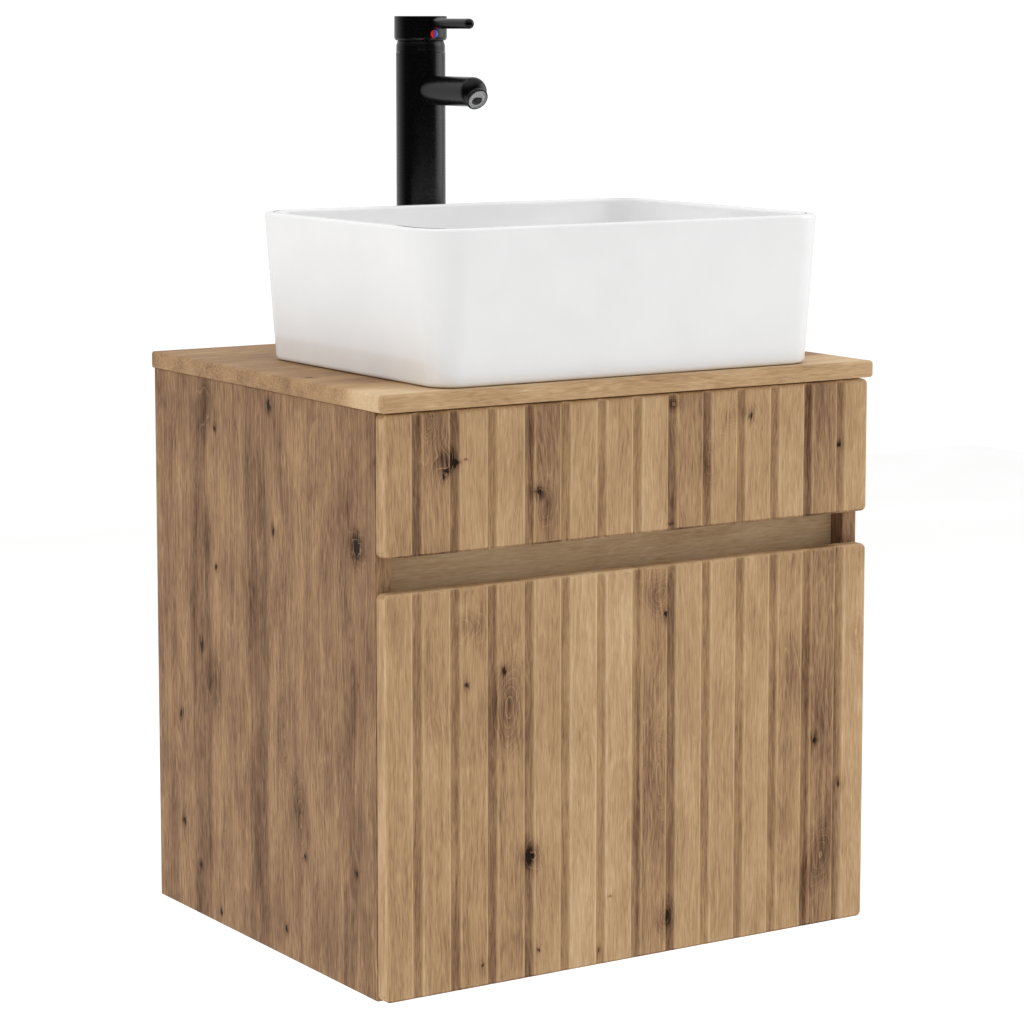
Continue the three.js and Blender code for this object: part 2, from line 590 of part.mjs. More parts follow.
function makeTapBody() {
  const bodyTop = TILT_CENTRE - DOME_BELOW_CENTRE;
  const bodyFloor = TAP_BASE + TAP_FLOOR;
  const column = turned([
    [0, TAP_BASE], [TAP_BODY_RADIUS, TAP_BASE], [TAP_BODY_RADIUS, bodyTop], [TAP_BORE_RADIUS, bodyTop],
    [TAP_BORE_RADIUS, bodyFloor], [0, bodyFloor],
  ]);
  const spoutHole = rod(SPOUT_NIPPLE_RADIUS + JOINT_GAP, 0, TAP_BODY_RADIUS + 2, SMALL_SIDES)
    .rotateX(Math.PI / 2).translate(0, 0, WORKTOP_TOP + SPOUT_HEIGHT);
  const inlet = rod(TAP_SHANK_RADIUS - TAP_SHANK_WALL, TAP_BASE - 1, bodyFloor + 1, SMALL_SIDES);
  addPiece("tap_body", cut(column, spoutHole, inlet), mattBlack, tap);

  addPiece("tap_gasket", ring(TAP_BODY_RADIUS - 1, TAP_HOLE_RADIUS + JOINT_GAP, WORKTOP_TOP + JOINT_GAP,
    TAP_BASE - JOINT_GAP), blackRubber, tap);
  const shankTop = TAP_BASE - JOINT_GAP;
  const shankBottom = WORKTOP_BOTTOM - TAP_SHANK_BELOW;
  addPiece("tap_shank", ring(TAP_SHANK_RADIUS, TAP_SHANK_RADIUS - TAP_SHANK_WALL, shankBottom, shankTop),
    brass, tap);
  const washerTop = WORKTOP_BOTTOM - JOINT_GAP;
  addPiece("tap_washer", ring(TAP_BODY_RADIUS, TAP_SHANK_RADIUS + JOINT_GAP, washerTop - TAP_WASHER,
    washerTop), blackRubber, tap);
  const nutTop = washerTop - TAP_WASHER - JOINT_GAP;
  addPiece("tap_nut", nut(TAP_NUT_RADIUS, TAP_SHANK_RADIUS + JOINT_GAP, 6, nutTop - TAP_NUT, nutTop),
    brass, tap);

  const domeStart = bodyTop + JOINT_GAP;
  const opening = TAP_DOME_RADIUS * TAP_DOME_OPENING_SHARE;
  const openingAngle = THREE.MathUtils.radToDeg(Math.acos(opening / TAP_DOME_RADIUS));
  const innerDome = TAP_DOME_RADIUS - TAP_DOME_WALL;
  const innerAngle = THREE.MathUtils.radToDeg(Math.acos(opening / innerDome));
  addPiece("tap_dome_nut", turned([
    [innerDome, domeStart], [TAP_DOME_RADIUS, domeStart],
    ...arc(0, TILT_CENTRE, TAP_DOME_RADIUS, 0, openingAngle, 6),
    ...arc(0, TILT_CENTRE, innerDome, innerAngle, 0, 5), [innerDome, domeStart],
  ]), mattBlack, tap);
}

function makeCartridge() {
  const shoulder = TILT_CENTRE - CARTRIDGE_BELOW_CENTRE;
  const neck = CARTRIDGE_RADIUS - 5;
  addPiece("tap_cartridge", turned([
    [0, shoulder - CARTRIDGE_HEIGHT], [CARTRIDGE_RADIUS, shoulder - CARTRIDGE_HEIGHT],
    [CARTRIDGE_RADIUS, shoulder], [neck, shoulder], [neck, shoulder + 3], [0, shoulder + 3],
  ]), greyPlastic, tap);

  // The rotor is a cup that holds the stem's ball; its rim stays just under the ball's middle.
  const socket = STEM_BALL_RADIUS + STEM_BALL_CLEARANCE;
  const rimDrop = 2;
  const rimAngle = THREE.MathUtils.radToDeg(Math.asin(rimDrop / socket));
  const rotorBottom = shoulder + 3 + JOINT_GAP;
  const rotorTop = TILT_CENTRE - rimDrop;
  addPiece("cartridge_rotor", turned([
    [0, rotorBottom], [neck - 1, rotorBottom], [neck - 1, rotorTop],
    ...arc(0, TILT_CENTRE, socket, -rimAngle, -90, 5),
  ], SMALL_SIDES), whitePlastic, tap);

  const stemTop = CAP_TOP - TAP_CAP_ROOF - JOINT_GAP;
  const ballTop = THREE.MathUtils.radToDeg(Math.acos(STEM_RADIUS / STEM_BALL_RADIUS));
  addPiece("cartridge_stem", turned([
    ...arc(0, TILT_CENTRE, STEM_BALL_RADIUS, -90, ballTop, 7), [STEM_RADIUS, stemTop], [0, stemTop],
  ], SMALL_SIDES), zincSteel, tap);
}

function makeHandle() {
  const skirt = TAP_SKIRT_RADIUS;
  const edge = 1;
  const shell = turned([
    [skirt, CAP_BOTTOM], [TAP_CAP_RADIUS - edge, CAP_BOTTOM], [TAP_CAP_RADIUS, CAP_BOTTOM + edge],
    [TAP_CAP_RADIUS, CAP_TOP - edge], [TAP_CAP_RADIUS - edge, CAP_TOP], [0, CAP_TOP],
    [0, CAP_TOP - TAP_CAP_ROOF], [skirt, CAP_TOP - TAP_CAP_ROOF], [skirt, CAP_BOTTOM],
  ]);
  const leverZ = CAP_TOP - LEVER_BELOW_TOP;
  const towardsFront = (geometry, z) => geometry.rotateX(Math.PI / 2).translate(0, 0, z);
  const studHole = towardsFront(rod(LEVER_STUD_RADIUS + LEVER_STUD_CLEARANCE, skirt - 3,
    TAP_CAP_RADIUS + 2, SMALL_SIDES), leverZ);
  const dotZ = CAP_TOP - DOT_BELOW_TOP;
  const dotFloor = TAP_CAP_RADIUS - 1.6;
  const dotPocket = towardsFront(rod(DOT_RADIUS + JOINT_GAP, dotFloor, TAP_CAP_RADIUS + 2, SMALL_SIDES), dotZ);
  addPiece("tap_cap", cut(shell, studHole, dotPocket), mattBlack, tap);

  const tip = LEVER_REACH - LEVER_RADIUS;
  const pin = towardsFront(turned([[0, TAP_CAP_RADIUS - 4], [LEVER_RADIUS, TAP_CAP_RADIUS - 4],
    ...arc(0, tip, LEVER_RADIUS, 0, 90, 5)], SMALL_SIDES), leverZ);
  const stud = towardsFront(rod(LEVER_STUD_RADIUS, skirt - 2, TAP_CAP_RADIUS + 4, SMALL_SIDES), leverZ);
  const around = rod(TAP_CAP_RADIUS + JOINT_GAP, leverZ - 2 * LEVER_RADIUS, leverZ + 2 * LEVER_RADIUS);
  addPiece("tap_lever", shaped(solid(pin).subtract(solid(around)).add(solid(stud))), mattBlack, tap);

  const dotFace = TAP_CAP_RADIUS + 0.3;
  const disc = solid(towardsFront(rod(DOT_RADIUS, dotFloor + JOINT_GAP, dotFace, SMALL_SIDES), dotZ));
  const reach = DOT_RADIUS + 1;
  for (const [name, side, material] of [["red", -1, redEnamel], ["blue", 1, blueEnamel]]) {
    const half = mirroredBlock(side, JOINT_GAP / 2, reach, -TAP_CAP_RADIUS - 2, 0, dotZ - reach, dotZ + reach);
    addPiece(`tap_dot_${name}`, shaped(disc.intersect(solid(half))), material, tap);
  }
}

function makeSpout() {
  const z = WORKTOP_TOP + SPOUT_HEIGHT;
  const noseCentre = SPOUT_REACH - SPOUT_RADIUS;
  const forward = (geometry) => geometry.rotateX(Math.PI / 2).translate(0, 0, z);
  const tube = forward(turned([[0, 6], [SPOUT_RADIUS, 6],
    ...arc(0, noseCentre, SPOUT_RADIUS, 0, 90, 5)]));
  const nipple = forward(rod(SPOUT_NIPPLE_RADIUS, TAP_BORE_RADIUS + JOINT_GAP, TAP_BODY_RADIUS + 8,
    SMALL_SIDES));
  const around = rod(TAP_BODY_RADIUS + JOINT_GAP, z - 2 * SPOUT_RADIUS, z + 2 * SPOUT_RADIUS, 48);
  const aim = (geometry) => geometry
    .rotateX(Math.PI - THREE.MathUtils.degToRad(OUTLET_TILT))
    .translate(0, -noseCentre, z);
  const outlet = aim(rod(OUTLET_RADIUS, 0, OUTLET_LENGTH, SMALL_SIDES));
  const waterway = forward(rod(SPOUT_BORE_RADIUS, TAP_BORE_RADIUS - 1, noseCentre, SMALL_SIDES));
  const socketFloor = OUTLET_LENGTH - AERATOR_HEIGHT - 3;
  const mouth = aim(rod(AERATOR_RADIUS + JOINT_GAP, socketFloor, OUTLET_LENGTH + 1, SMALL_SIDES));
  const throat = aim(rod(SPOUT_BORE_RADIUS, -2, OUTLET_LENGTH, SMALL_SIDES));
  const spout = solid(tube).subtract(solid(around)).add(solid(nipple)).add(solid(outlet))
    .subtract(solid(waterway)).subtract(solid(mouth)).subtract(solid(throat));
  addPiece("tap_spout", shaped(spout), mattBlack, tap);

  const ringTop = OUTLET_LENGTH + 0.4;
  const ringFloor = ringTop - AERATOR_HEIGHT;
  const ringInner = AERATOR_RADIUS - AERATOR_WALL;
  addPiece("aerator_ring", aim(turned([
    [ringInner, ringFloor], [AERATOR_RADIUS, ringFloor], [AERATOR_RADIUS, ringTop], [ringInner, ringTop],
    [ringInner, ringFloor],
  ], SMALL_SIDES)), zincSteel, tap);
  addPiece("aerator_mesh", aim(rod(ringInner - JOINT_GAP, ringTop - 2.5, ringTop - 1, SMALL_SIDES)),
    zincSteel, tap);
}

makeCarcass();
makeTopFront();
makeWorktop();
makeHangers();
makeRunners();
makeDrawer();
makeBasin();
makeWaste();
makeTapBody();
makeCartridge();
makeHandle();
makeSpout();

export default unit;
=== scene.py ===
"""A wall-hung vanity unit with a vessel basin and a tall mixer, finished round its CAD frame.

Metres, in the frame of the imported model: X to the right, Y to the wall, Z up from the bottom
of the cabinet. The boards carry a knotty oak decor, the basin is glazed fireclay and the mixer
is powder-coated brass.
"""

import json
import logging
import math
from collections.abc import Iterator, Sequence
from contextlib import contextmanager
from dataclasses import dataclass
from enum import Enum

import bmesh
import bpy
import numpy as np
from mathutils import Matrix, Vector

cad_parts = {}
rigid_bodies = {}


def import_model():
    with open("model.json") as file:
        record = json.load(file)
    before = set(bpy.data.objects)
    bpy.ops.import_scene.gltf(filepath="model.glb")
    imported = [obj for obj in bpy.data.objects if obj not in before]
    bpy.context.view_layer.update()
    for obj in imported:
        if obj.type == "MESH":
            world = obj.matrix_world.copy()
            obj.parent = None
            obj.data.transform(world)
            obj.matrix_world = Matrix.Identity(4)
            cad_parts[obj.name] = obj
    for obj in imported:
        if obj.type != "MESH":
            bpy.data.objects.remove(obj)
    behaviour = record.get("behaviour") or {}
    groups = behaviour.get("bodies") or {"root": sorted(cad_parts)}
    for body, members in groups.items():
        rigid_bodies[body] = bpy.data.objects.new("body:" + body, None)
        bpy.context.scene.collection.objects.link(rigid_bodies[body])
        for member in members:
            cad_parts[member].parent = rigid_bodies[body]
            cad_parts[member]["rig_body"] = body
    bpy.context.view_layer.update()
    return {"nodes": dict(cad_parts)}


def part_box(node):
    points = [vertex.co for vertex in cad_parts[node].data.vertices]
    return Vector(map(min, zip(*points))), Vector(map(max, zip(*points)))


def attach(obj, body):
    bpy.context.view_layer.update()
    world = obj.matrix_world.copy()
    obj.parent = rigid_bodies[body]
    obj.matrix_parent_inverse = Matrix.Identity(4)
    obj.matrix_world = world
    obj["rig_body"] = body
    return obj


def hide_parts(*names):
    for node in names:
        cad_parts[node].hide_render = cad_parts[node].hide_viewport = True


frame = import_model()

LOG = logging.getLogger("vanity")
MM = 0.001
TURN = 2 * math.pi
UP = (0.0, 0.0, 1.0)
WELD = 2e-6  # points nearer than this, in metres, are one point
NEARLY_NOTHING = 1e-12  # keeps a length of 0 from dividing
LONGEST_REACH = 0.42  # the most of an edge that a rounded corner takes up
GUARD_AT = 1.18  # place of a guard point, as a share of the corner's reach
COLUMN_SIDES = 96  # points round the mixer's large turned pieces
Array = np.ndarray
Axes = tuple[int, int, int]
Place = tuple[float, float, float]
Socket = bpy.types.NodeSocket
Colour = tuple[float, float, float, float]


# ---- Shapes: grids of points worked out as whole arrays ----
@dataclass(frozen=True)
class Patch:
    """A grid of points skinned with four-sided faces.

    Attributes:
        points: Rows by columns by X, Y, Z, in metres.
        ring_rows: Whether the last row joins the first.
        ring_columns: Whether the last column joins the first.
        lids: Whether the first and last rows are closed with one flat face each.
        painted_light: Rows by columns, above 0 for a painted highlight on an edge and below 0 for painted
            shade in a recess.
    """

    points: Array
    ring_rows: bool = False
    ring_columns: bool = True
    lids: bool = False
    painted_light: Array | None = None

    def faces(self, start: int) -> list[list[int]]:
        """The patch's faces as lists of point numbers.

        Args:
            start: The number of the patch's first point.

        Returns:
            One list of point numbers for each face.
        """
        rows, columns = self.points.shape[:2]
        row = np.arange(rows if self.ring_rows else rows - 1)[:, None]
        column = np.arange(columns if self.ring_columns else columns - 1)[None, :]
        above, beside = (row + 1) % rows * columns, (column + 1) % columns
        corners = (row * columns + column, row * columns + beside, above + beside, above + column)
        quads = np.stack(np.broadcast_arrays(*corners), -1).reshape(-1, 4) + start
        ends = (np.arange(columns)[::-1] + start, np.arange(columns) + start + (rows - 1) * columns)
        return quads.tolist() + ([end.tolist() for end in ends] if self.lids else [])


def soften(corners: Array, radii: float | list[float], steps: int = 4) -> Array:
    """Rounds the corners of a profile.

    Formula: corner P becomes (1 - t)^2 A + 2 t (1 - t) P + t^2 B, where A and B lie on the two
    edges at the corner's radius from P, or at 0.42 of the shorter edge if that is less. A guard
    point stands just before A and just after B, at 1.18 of that distance, so that the flat beside
    the corner stays flat when it is shaded. A radius of 0 keeps a corner.

    Args:
        corners: The profile's corners, a row of two values for each.
        radii: One radius, or one for each corner.
        steps: Chords in each rounded corner.

    Returns:
        The rounded profile, a row of two values for each point.
    """
    back, ahead = np.roll(corners, 1, 0) - corners, np.roll(corners, -1, 0) - corners
    back_length, ahead_length = (
        np.linalg.norm(edge, axis=1, keepdims=True) + NEARLY_NOTHING for edge in (back, ahead))
    radius = np.broadcast_to(np.asarray(radii, float).reshape(-1, 1), (len(corners), 1))
    reach = np.minimum(radius, LONGEST_REACH * np.minimum(back_length, ahead_length))
    before, after = back / back_length * reach, ahead / ahead_length * reach
    t = np.linspace(0, 1, steps + 1)[None, :, None]
    tip, before, after = corners[:, None], before[:, None], after[:, None]
    curve = tip + (1 - t) ** 2 * before + t**2 * after
    guards = tip + GUARD_AT * before, tip + GUARD_AT * after
    return np.concatenate([guards[0], curve, guards[1]], 1).reshape(-1, 2)


def turned(profile: Array, foot: Array, axis: Place = UP, sides: int = 64) -> Array:
    """A profile turned about an axis.

    Formula: point = foot + height * axis + radius * (cos angle * across + sin angle * onward),
    with across, onward and axis at right angles.

    Args:
        profile: Radius and height of each point, in metres.
        foot: Where height is 0 on the axis.
        axis: Direction of the axis, of length 1.
        sides: Points in one turn.

    Returns:
        The grid, a row for each profile point.
    """
    along = np.array(axis)
    across = np.array((1.0, 0.0, 0.0))
    onward = np.cross(along, across)
    angle = np.arange(sides)[:, None] * TURN / sides
    spokes = np.cos(angle) * across + np.sin(angle) * onward
    return np.asarray(foot) + profile[:, 1, None, None] * along + profile[:, 0, None, None] * spokes


def rounded_loops(half: Array, radius: Array, steps: int = 9, guard: float = 2 * MM) -> Array:
    """Rectangles with round corners about the origin, one for each row.

    Formula: point = sign of the corner * (half size - radius) + radius * (cos angle, sin angle),
    and the angle makes a quarter turn at each corner. A guard point follows each arc and one
    comes before it.

    Args:
        half: Half width and half depth of each loop.
        radius: Corner radius of each loop.
        steps: Chords in a corner.
        guard: Distance of a guard point from its arc.

    Returns:
        Loops by points by X, Y.
    """
    quarter = np.arange(4)[:, None] + np.linspace(0, 1, steps + 1)[None, :]
    spoke = np.stack([np.cos(quarter * TURN / 4), np.sin(quarter * TURN / 4)], -1)
    sign = np.sign(spoke[:, steps // 2])
    arcs = (sign * (half - radius[:, None])[:, None])[:, :, None] + radius[:, None, None, None] * spoke
    nexts = np.roll(arcs[:, :, :1], -1, axis=1)
    gap = nexts - arcs[:, :, -1:]
    length = np.linalg.norm(gap, axis=-1, keepdims=True) + NEARLY_NOTHING
    step = gap / length * np.minimum(guard, 0.3 * length)
    return np.concatenate([arcs, arcs[:, :, -1:] + step, nexts - step], 2).reshape(len(half), -1, 2)


def raised(outline: Array, height: Array, axes: Axes = (0, 1, 2)) -> Array:
    """Flat loops put at heights in space.

    Formula: the loops' two values and the height go to the three axes that are named.

    Args:
        outline: Rows by points by two values.
        height: One height for each row.
        axes: The axes that take the two values and the height.

    Returns:
        Rows by points by X, Y, Z.
    """
    points = np.empty(outline.shape[:2] + (3,))
    points[..., axes[0]], points[..., axes[1]] = outline[..., 0], outline[..., 1]
    points[..., axes[2]] = height[:, None]
    return points


def inset(outline: Array, distance: Array) -> Array:
    """Copies of an anticlockwise outline drawn in by distances.

    Formula: point + distance * m, where m is the mean of the two edges' inward normals divided
    by one plus their product, so that each edge moves in by exactly the distance.

    Args:
        outline: Points by two values, with no two neighbours in one place.
        distance: One distance for each copy.

    Returns:
        Copies by points by two values.
    """
    edge = np.roll(outline, -1, 0) - outline
    edge /= np.linalg.norm(edge, axis=1, keepdims=True)
    normal = np.stack([-edge[:, 1], edge[:, 0]], -1)
    before = np.roll(normal, 1, 0)
    miter = (normal + before) / (1 + (normal * before).sum(1, keepdims=True))
    return outline + distance[:, None, None] * miter


def pushed(outline: Array, low: float, high: float, ease: float, axes: Axes) -> Patch:
    """An outline carried along a straight line, with eased ends.

    Formula: ring k lies at the outline drawn in by ease * (1 - sin a_k), and it is at
    ease * (1 - cos a_k) from the end, as a quarter circle.

    Args:
        outline: Anticlockwise points by two values.
        low: Where the line starts.
        high: Where the line ends.
        ease: Radius of the ends' edges.
        axes: The axes of the outline's two values and of the line.

    Returns:
        A closed patch.
    """
    angle = np.linspace(0, TURN / 4, 4)
    drawn_in, depth = ease * (1 - np.sin(angle)), ease * (1 - np.cos(angle))
    drawn_in = np.concatenate([[2 * ease], drawn_in, [0]])
    depth = np.concatenate([[0], depth, [2 * ease]])
    rows = inset(outline, np.concatenate([drawn_in, drawn_in[::-1]]))
    return Patch(raised(rows, np.concatenate([low + depth, (high - depth)[::-1]]), axes), lids=True)


@contextmanager
def welded(mesh: bpy.types.Mesh) -> Iterator[bmesh.types.BMesh]:
    """Opens a mesh for editing with its doubled points merged, and writes it back.

    Args:
        mesh: The mesh.

    Yields:
        The mesh as it is edited.
    """
    work = bmesh.new()
    work.from_mesh(mesh)
    bmesh.ops.remove_doubles(work, verts=work.verts, dist=WELD)
    yield work
    work.to_mesh(mesh)
    work.free()


def shaded(name: str, mesh: bpy.types.Mesh, crease: float) -> bpy.types.Object:
    """Puts a mesh in the scene, shaded smooth but for its creases.

    Args:
        name: The object's name.
        mesh: Its mesh.
        crease: Angle in degrees past which an edge is shaded sharp.

    Returns:
        The object.
    """
    mesh.shade_smooth()
    mesh.set_sharp_from_angle(angle=math.radians(crease))
    piece = bpy.data.objects.new(name, mesh)
    bpy.context.scene.collection.objects.link(piece)
    return piece


def build(name: str, patches: Sequence[Patch], crease: float = 38.0) -> bpy.types.Object:
    """Makes one closed mesh object from patches.

    Args:
        name: The object's name.
        patches: Patches whose borders meet.
        crease: Angle in degrees past which an edge is shaded sharp.

    Returns:
        The object, in place.
    """
    starts = np.cumsum([0] + [patch.points[..., 0].size for patch in patches])
    points = np.concatenate([patch.points.reshape(-1, 3) for patch in patches])
    faces = [face for patch, start in zip(patches, starts) for face in patch.faces(int(start))]
    mesh = bpy.data.meshes.new(name)
    mesh.from_pydata(points.tolist(), [], faces)
    # The painted_light point attribute carries painted highlights and painted shade to the material.
    if any(patch.painted_light is not None for patch in patches):
        painted_light = [np.zeros(p.points[..., 0].size) if p.painted_light is None else p.painted_light.ravel() for p in patches]
        mesh.attributes.new("painted_light", "FLOAT", "POINT").data.foreach_set("value", np.concatenate(painted_light))
    with welded(mesh) as work:
        bmesh.ops.recalc_face_normals(work, faces=work.faces)
    return shaded(name, mesh, crease)


def eased_copy(node: str, width: float) -> bpy.types.Object:
    """A merged copy of a CAD node with its sharp edges eased.

    Args:
        node: The CAD node.
        width: Width of the eased edges, in metres.

    Returns:
        The new object.
    """
    mesh = frame["nodes"][node].data.copy()
    mesh.materials.clear()
    with welded(mesh) as work:
        bmesh.ops.dissolve_limit(work, angle_limit=math.radians(1), verts=work.verts, edges=work.edges)
    piece = shaded("fine_" + node, mesh, 50)
    bevel = piece.modifiers.new("eased", "BEVEL")
    bevel.width, bevel.segments = width, 2
    bevel.limit_method, bevel.angle_limit = "ANGLE", math.radians(35)
    bevel.harden_normals = True
    return piece


# ---- Finishes ----
def linear(hex_colour: str) -> Colour:
    """The linear colour of an sRGB hex value such as #a58765."""
    parts = [int(hex_colour[i : i + 2], 16) / 255 for i in (1, 3, 5)]
    return (*(c / 12.92 if c <= 0.04045 else ((c + 0.055) / 1.055) ** 2.4 for c in parts), 1.0)


class Recipe:
    """A node tree, filled one node at a time."""

    def __init__(self, owner: bpy.types.ID) -> None:
        """Clears a tree to start with.

        Args:
            owner: The material or world that has the tree.
        """
        owner.use_nodes = True
        self.owner, self.tree = owner, owner.node_tree
        self.tree.nodes.clear()

    def add(self, kind: str, inputs: dict, output: int | str = 0, ramp: tuple = (),
            **settings: object) -> Socket | None:
        """Adds a node with its settings and links.

        Args:
            kind: The node's type after ShaderNode, then a space and its operation if it has one.
            inputs: A value or another node's output for each input, by name or number.
            output: The output to hand back.
            ramp: Position and colour of each stop, for a colour ramp.
            **settings: The node's own properties.

        Returns:
            The output, or None from a node that has none.
        """
        kind, _, operation = kind.partition(" ")
        node = self.tree.nodes.new("ShaderNode" + kind)
        if operation:
            settings["operation"] = operation
        for key, value in settings.items():
            setattr(node, key, value)
        for key, value in inputs.items():
            if isinstance(value, Socket):
                self.tree.links.new(value, node.inputs[key])
            else:
                node.inputs[key].default_value = value
        for i, (position, colour) in enumerate(ramp):
            stops = node.color_ramp.elements
            stop = stops[i] if i < 2 else stops.new(position)
            stop.position, stop.color = position, colour
        return node.outputs[output] if node.outputs else None

    def surface(self, **shader: object) -> bpy.types.ID:
        """Ends the tree in a Principled BSDF.

        Args:
            **shader: Its inputs, with _ for a space in a name.

        Returns:
            The material.
        """
        inputs = {key.replace("_", " "): value for key, value in shader.items()}
        inputs["Specular IOR Level"] = inputs.pop("Specular", 0.5)
        self.add("OutputMaterial", {"Surface": self.add("BsdfPrincipled", inputs)})
        return self.owner


class Lay(Enum):
    """How a board's grain lies: the axes across the grain, along it and through the board."""

    UPRIGHT_FRONT = (0, 2, 1)
    UPRIGHT_SIDE = (1, 2, 0)
    FLAT = (1, 0, 2)
    LONG_RAIL = (2, 0, 1)
    LONG_SIDE = (2, 1, 0)

    def spread(self, across: float, along: float, through: float) -> Place:
        """Three values given by the grain, put in the order X, Y, Z."""
        placed = dict(zip(self.value, (across, along, through)))
        return placed[0], placed[1], placed[2]


@dataclass(frozen=True)
class Knot:
    """A knot, or a patch of darker wood, on a board. Sizes are in millimetres.

    Attributes:
        across: From the board's low edge, across the grain.
        along: Along the grain, in the frame of the model.
        halo: Half width of the darker wood round it.
        shade: How much darker that wood is.
        core: Radius of the dark heart, or 0 for none.
        rings: Growth rings crossed between the edge of the halo and its middle.
        stretch: Length of the halo over its width.
    """

    across: float
    along: float
    halo: float
    shade: float = 0.16
    core: float = 0.0
    rings: float = 0.0
    stretch: float = 1.5


@dataclass(frozen=True)
class OakDecor:
    """Oiled knotty oak, the printed and embossed decor of a foil-wrapped board.

    Staves of different tone, growth lines that bend round knots, long fibres, short dark pores
    and a satin skin that is a little duller in the pores.

    Attributes:
        name: The material's name.
        lay: How the grain lies.
        low_edge: Where the board starts across the grain, in mm in the frame.
        staves: Distance from the low edge in mm, and tone from 0, dark, to 1, light.
        knots: The knots.
        depth: Moves the pattern, so that two boards differ, in mm.
        tone_drop: Taken from the tone of the whole board.
        uses_painted_light: Whether the mesh's painted_light attribute paints highlights on edges and
            shade in grooves into the tone.
        slot: The record's material slot; not used.
    """

    name: str
    lay: Lay
    low_edge: float
    staves: tuple[tuple[float, float], ...] = ((0, 0.5), (300, 0.5))
    knots: tuple[Knot, ...] = ()
    depth: float = 0.0
    tone_drop: float = 0.0
    uses_painted_light: bool = False
    slot: str = "oak_board"

    LINES_ACROSS = 19.0  # growth lines over the whole range of the slow noise
    HEART = 0.34  # how much darker a knot's heart is
    # One growth ring: its place, and its tone about 0.5, with one thin pale line.
    RING = ((0.0, 0.36), (0.07, 0.98), (0.19, 0.52), (0.8, 0.46), (1.0, 0.36))
    PAINTED_LIGHT_TONE = 0.11  # how much paler a painted highlight makes an edge where painted_light is 1; painted shade below 0 darkens it at the same rate
    # From heartwood in a knot to the pale wood between staves.
    PALETTE = (
        (0.0, "#2c1e12"), (0.13, "#5f442d"), (0.3, "#8b694e"), (0.5, "#ae8c64"),
        (0.7, "#c3a27a"), (1.0, "#dec39c"),
    )

    def streaks(self, recipe: Recipe, vector: Socket, across: float, along: float,
                detail: float = 2.0, output: str | int = 0) -> Socket:
        """Noise stretched along the grain.

        Args:
            recipe: The tree.
            vector: Coordinates in mm.
            across: Size of a streak across the grain, in mm.
            along: Its length, in mm.
            detail: Finer layers in the noise.
            output: Which output of the noise.

        Returns:
            The noise, about 0.5.
        """
        scale = self.lay.spread(1 / across, 1 / along, 1 / across)
        scaled = recipe.add("Mapping", {"Vector": vector, "Scale": scale})
        return recipe.add("TexNoise", {"Vector": scaled, "Scale": 1.0, "Detail": detail}, output)

    def wandering(self, recipe: Recipe, place: Socket, streak: tuple[float, float, float],
                  reach: tuple[float, float]) -> Socket:
        """Coordinates that noise pushes about.

        Args:
            recipe: The tree.
            place: Coordinates in mm.
            streak: The noise's size across and along the grain in mm, and its finer layers.
            reach: How far it pushes across and along the grain, in mm.

        Returns:
            The coordinates, in mm.
        """
        noise = self.streaks(recipe, place, *streak, "Color")
        push = recipe.add("VectorMath SUBTRACT", {0: noise, 1: (0.5,) * 3})
        return recipe.add("VectorMath MULTIPLY_ADD", {0: push, 1: self.lay.spread(*reach, 0), 2: place})

    def growth(self, recipe: Recipe, warped: Socket,
               ragged: Socket) -> tuple[Socket, Socket | float, Socket | float]:
        """Growth rings that crowd round the knots, and the knots themselves.

        Args:
            recipe: The tree.
            warped: Coordinates that follow the grain, in mm.
            ragged: Coordinates with a rough edge, for cracked hearts, in mm.

        Returns:
            The rings' count, the darkness of the wood round the knots, and of their hearts.
        """
        spread = self.lay.spread
        slow = self.streaks(recipe, warped, 50, 420, 1.4)
        rings = recipe.add("Math MULTIPLY", {0: slow, 1: self.LINES_ACROSS})
        halo, heart = 0.0, 0.0
        for knot in self.knots:
            across, along = knot.halo, knot.halo * knot.stretch
            gap = recipe.add("Mapping", {
                "Vector": ragged if knot.core else warped,
                "Location": spread(-knot.across / across, -knot.along / along, 0),
                "Scale": spread(1 / across, 1 / along, 0)})
            far = recipe.add("VectorMath LENGTH", {0: gap}, "Value")
            swell = recipe.add("MapRange", {0: far, 1: 0.0, 2: 1.0, 3: 1.0, 4: 0.0},
                               interpolation_type="SMOOTHSTEP")
            halo = recipe.add("Math MULTIPLY_ADD", {0: swell, 1: knot.shade, 2: halo})
            if knot.rings:
                rings = recipe.add("Math MULTIPLY_ADD", {0: swell, 1: knot.rings, 2: rings})
            if knot.core:
                edge = 1.3 * knot.core / across
                dark = recipe.add("MapRange", {0: far, 1: 0.0, 2: edge, 3: self.HEART, 4: 0.0},
                                  interpolation_type="SMOOTHSTEP")
                heart = recipe.add("Math ADD", {0: dark, 1: heart})
        return rings, halo, heart

    def lines(self, recipe: Recipe, rings: Socket, halo: Socket | float) -> Socket:
        """Fine growth lines, stronger round a knot.

        Args:
            recipe: The tree.
            rings: The rings' count.
            halo: The darkness of the wood round the knots.

        Returns:
            The lines' tone, about 0.
        """
        turn = recipe.add("Math FRACT", {0: rings})
        line = recipe.add("ValToRGB", {0: turn}, ramp=tuple((at, (tone,) * 4) for at, tone in self.RING))
        strength = recipe.add("Math MULTIPLY_ADD", {0: halo, 1: 1.7, 2: 0.12})
        return recipe.add("Math MULTIPLY", {
            0: recipe.add("Math SUBTRACT", {0: line, 1: 0.5}), 1: strength})

    def stave(self, recipe: Recipe, warped: Socket) -> Socket:
        """The tone of the stave at a point.

        Args:
            recipe: The tree.
            warped: Coordinates that follow the grain, in mm.

        Returns:
            The tone.
        """
        width = self.staves[-1][0]
        across = recipe.add("SeparateXYZ", {0: warped}, "XYZ"[self.lay.value[0]])
        return recipe.add("ValToRGB", {0: recipe.add("Math MULTIPLY", {0: across, 1: 1 / width})},
                          ramp=tuple((at / width, (tone,) * 3 + (1.0,)) for at, tone in self.staves))

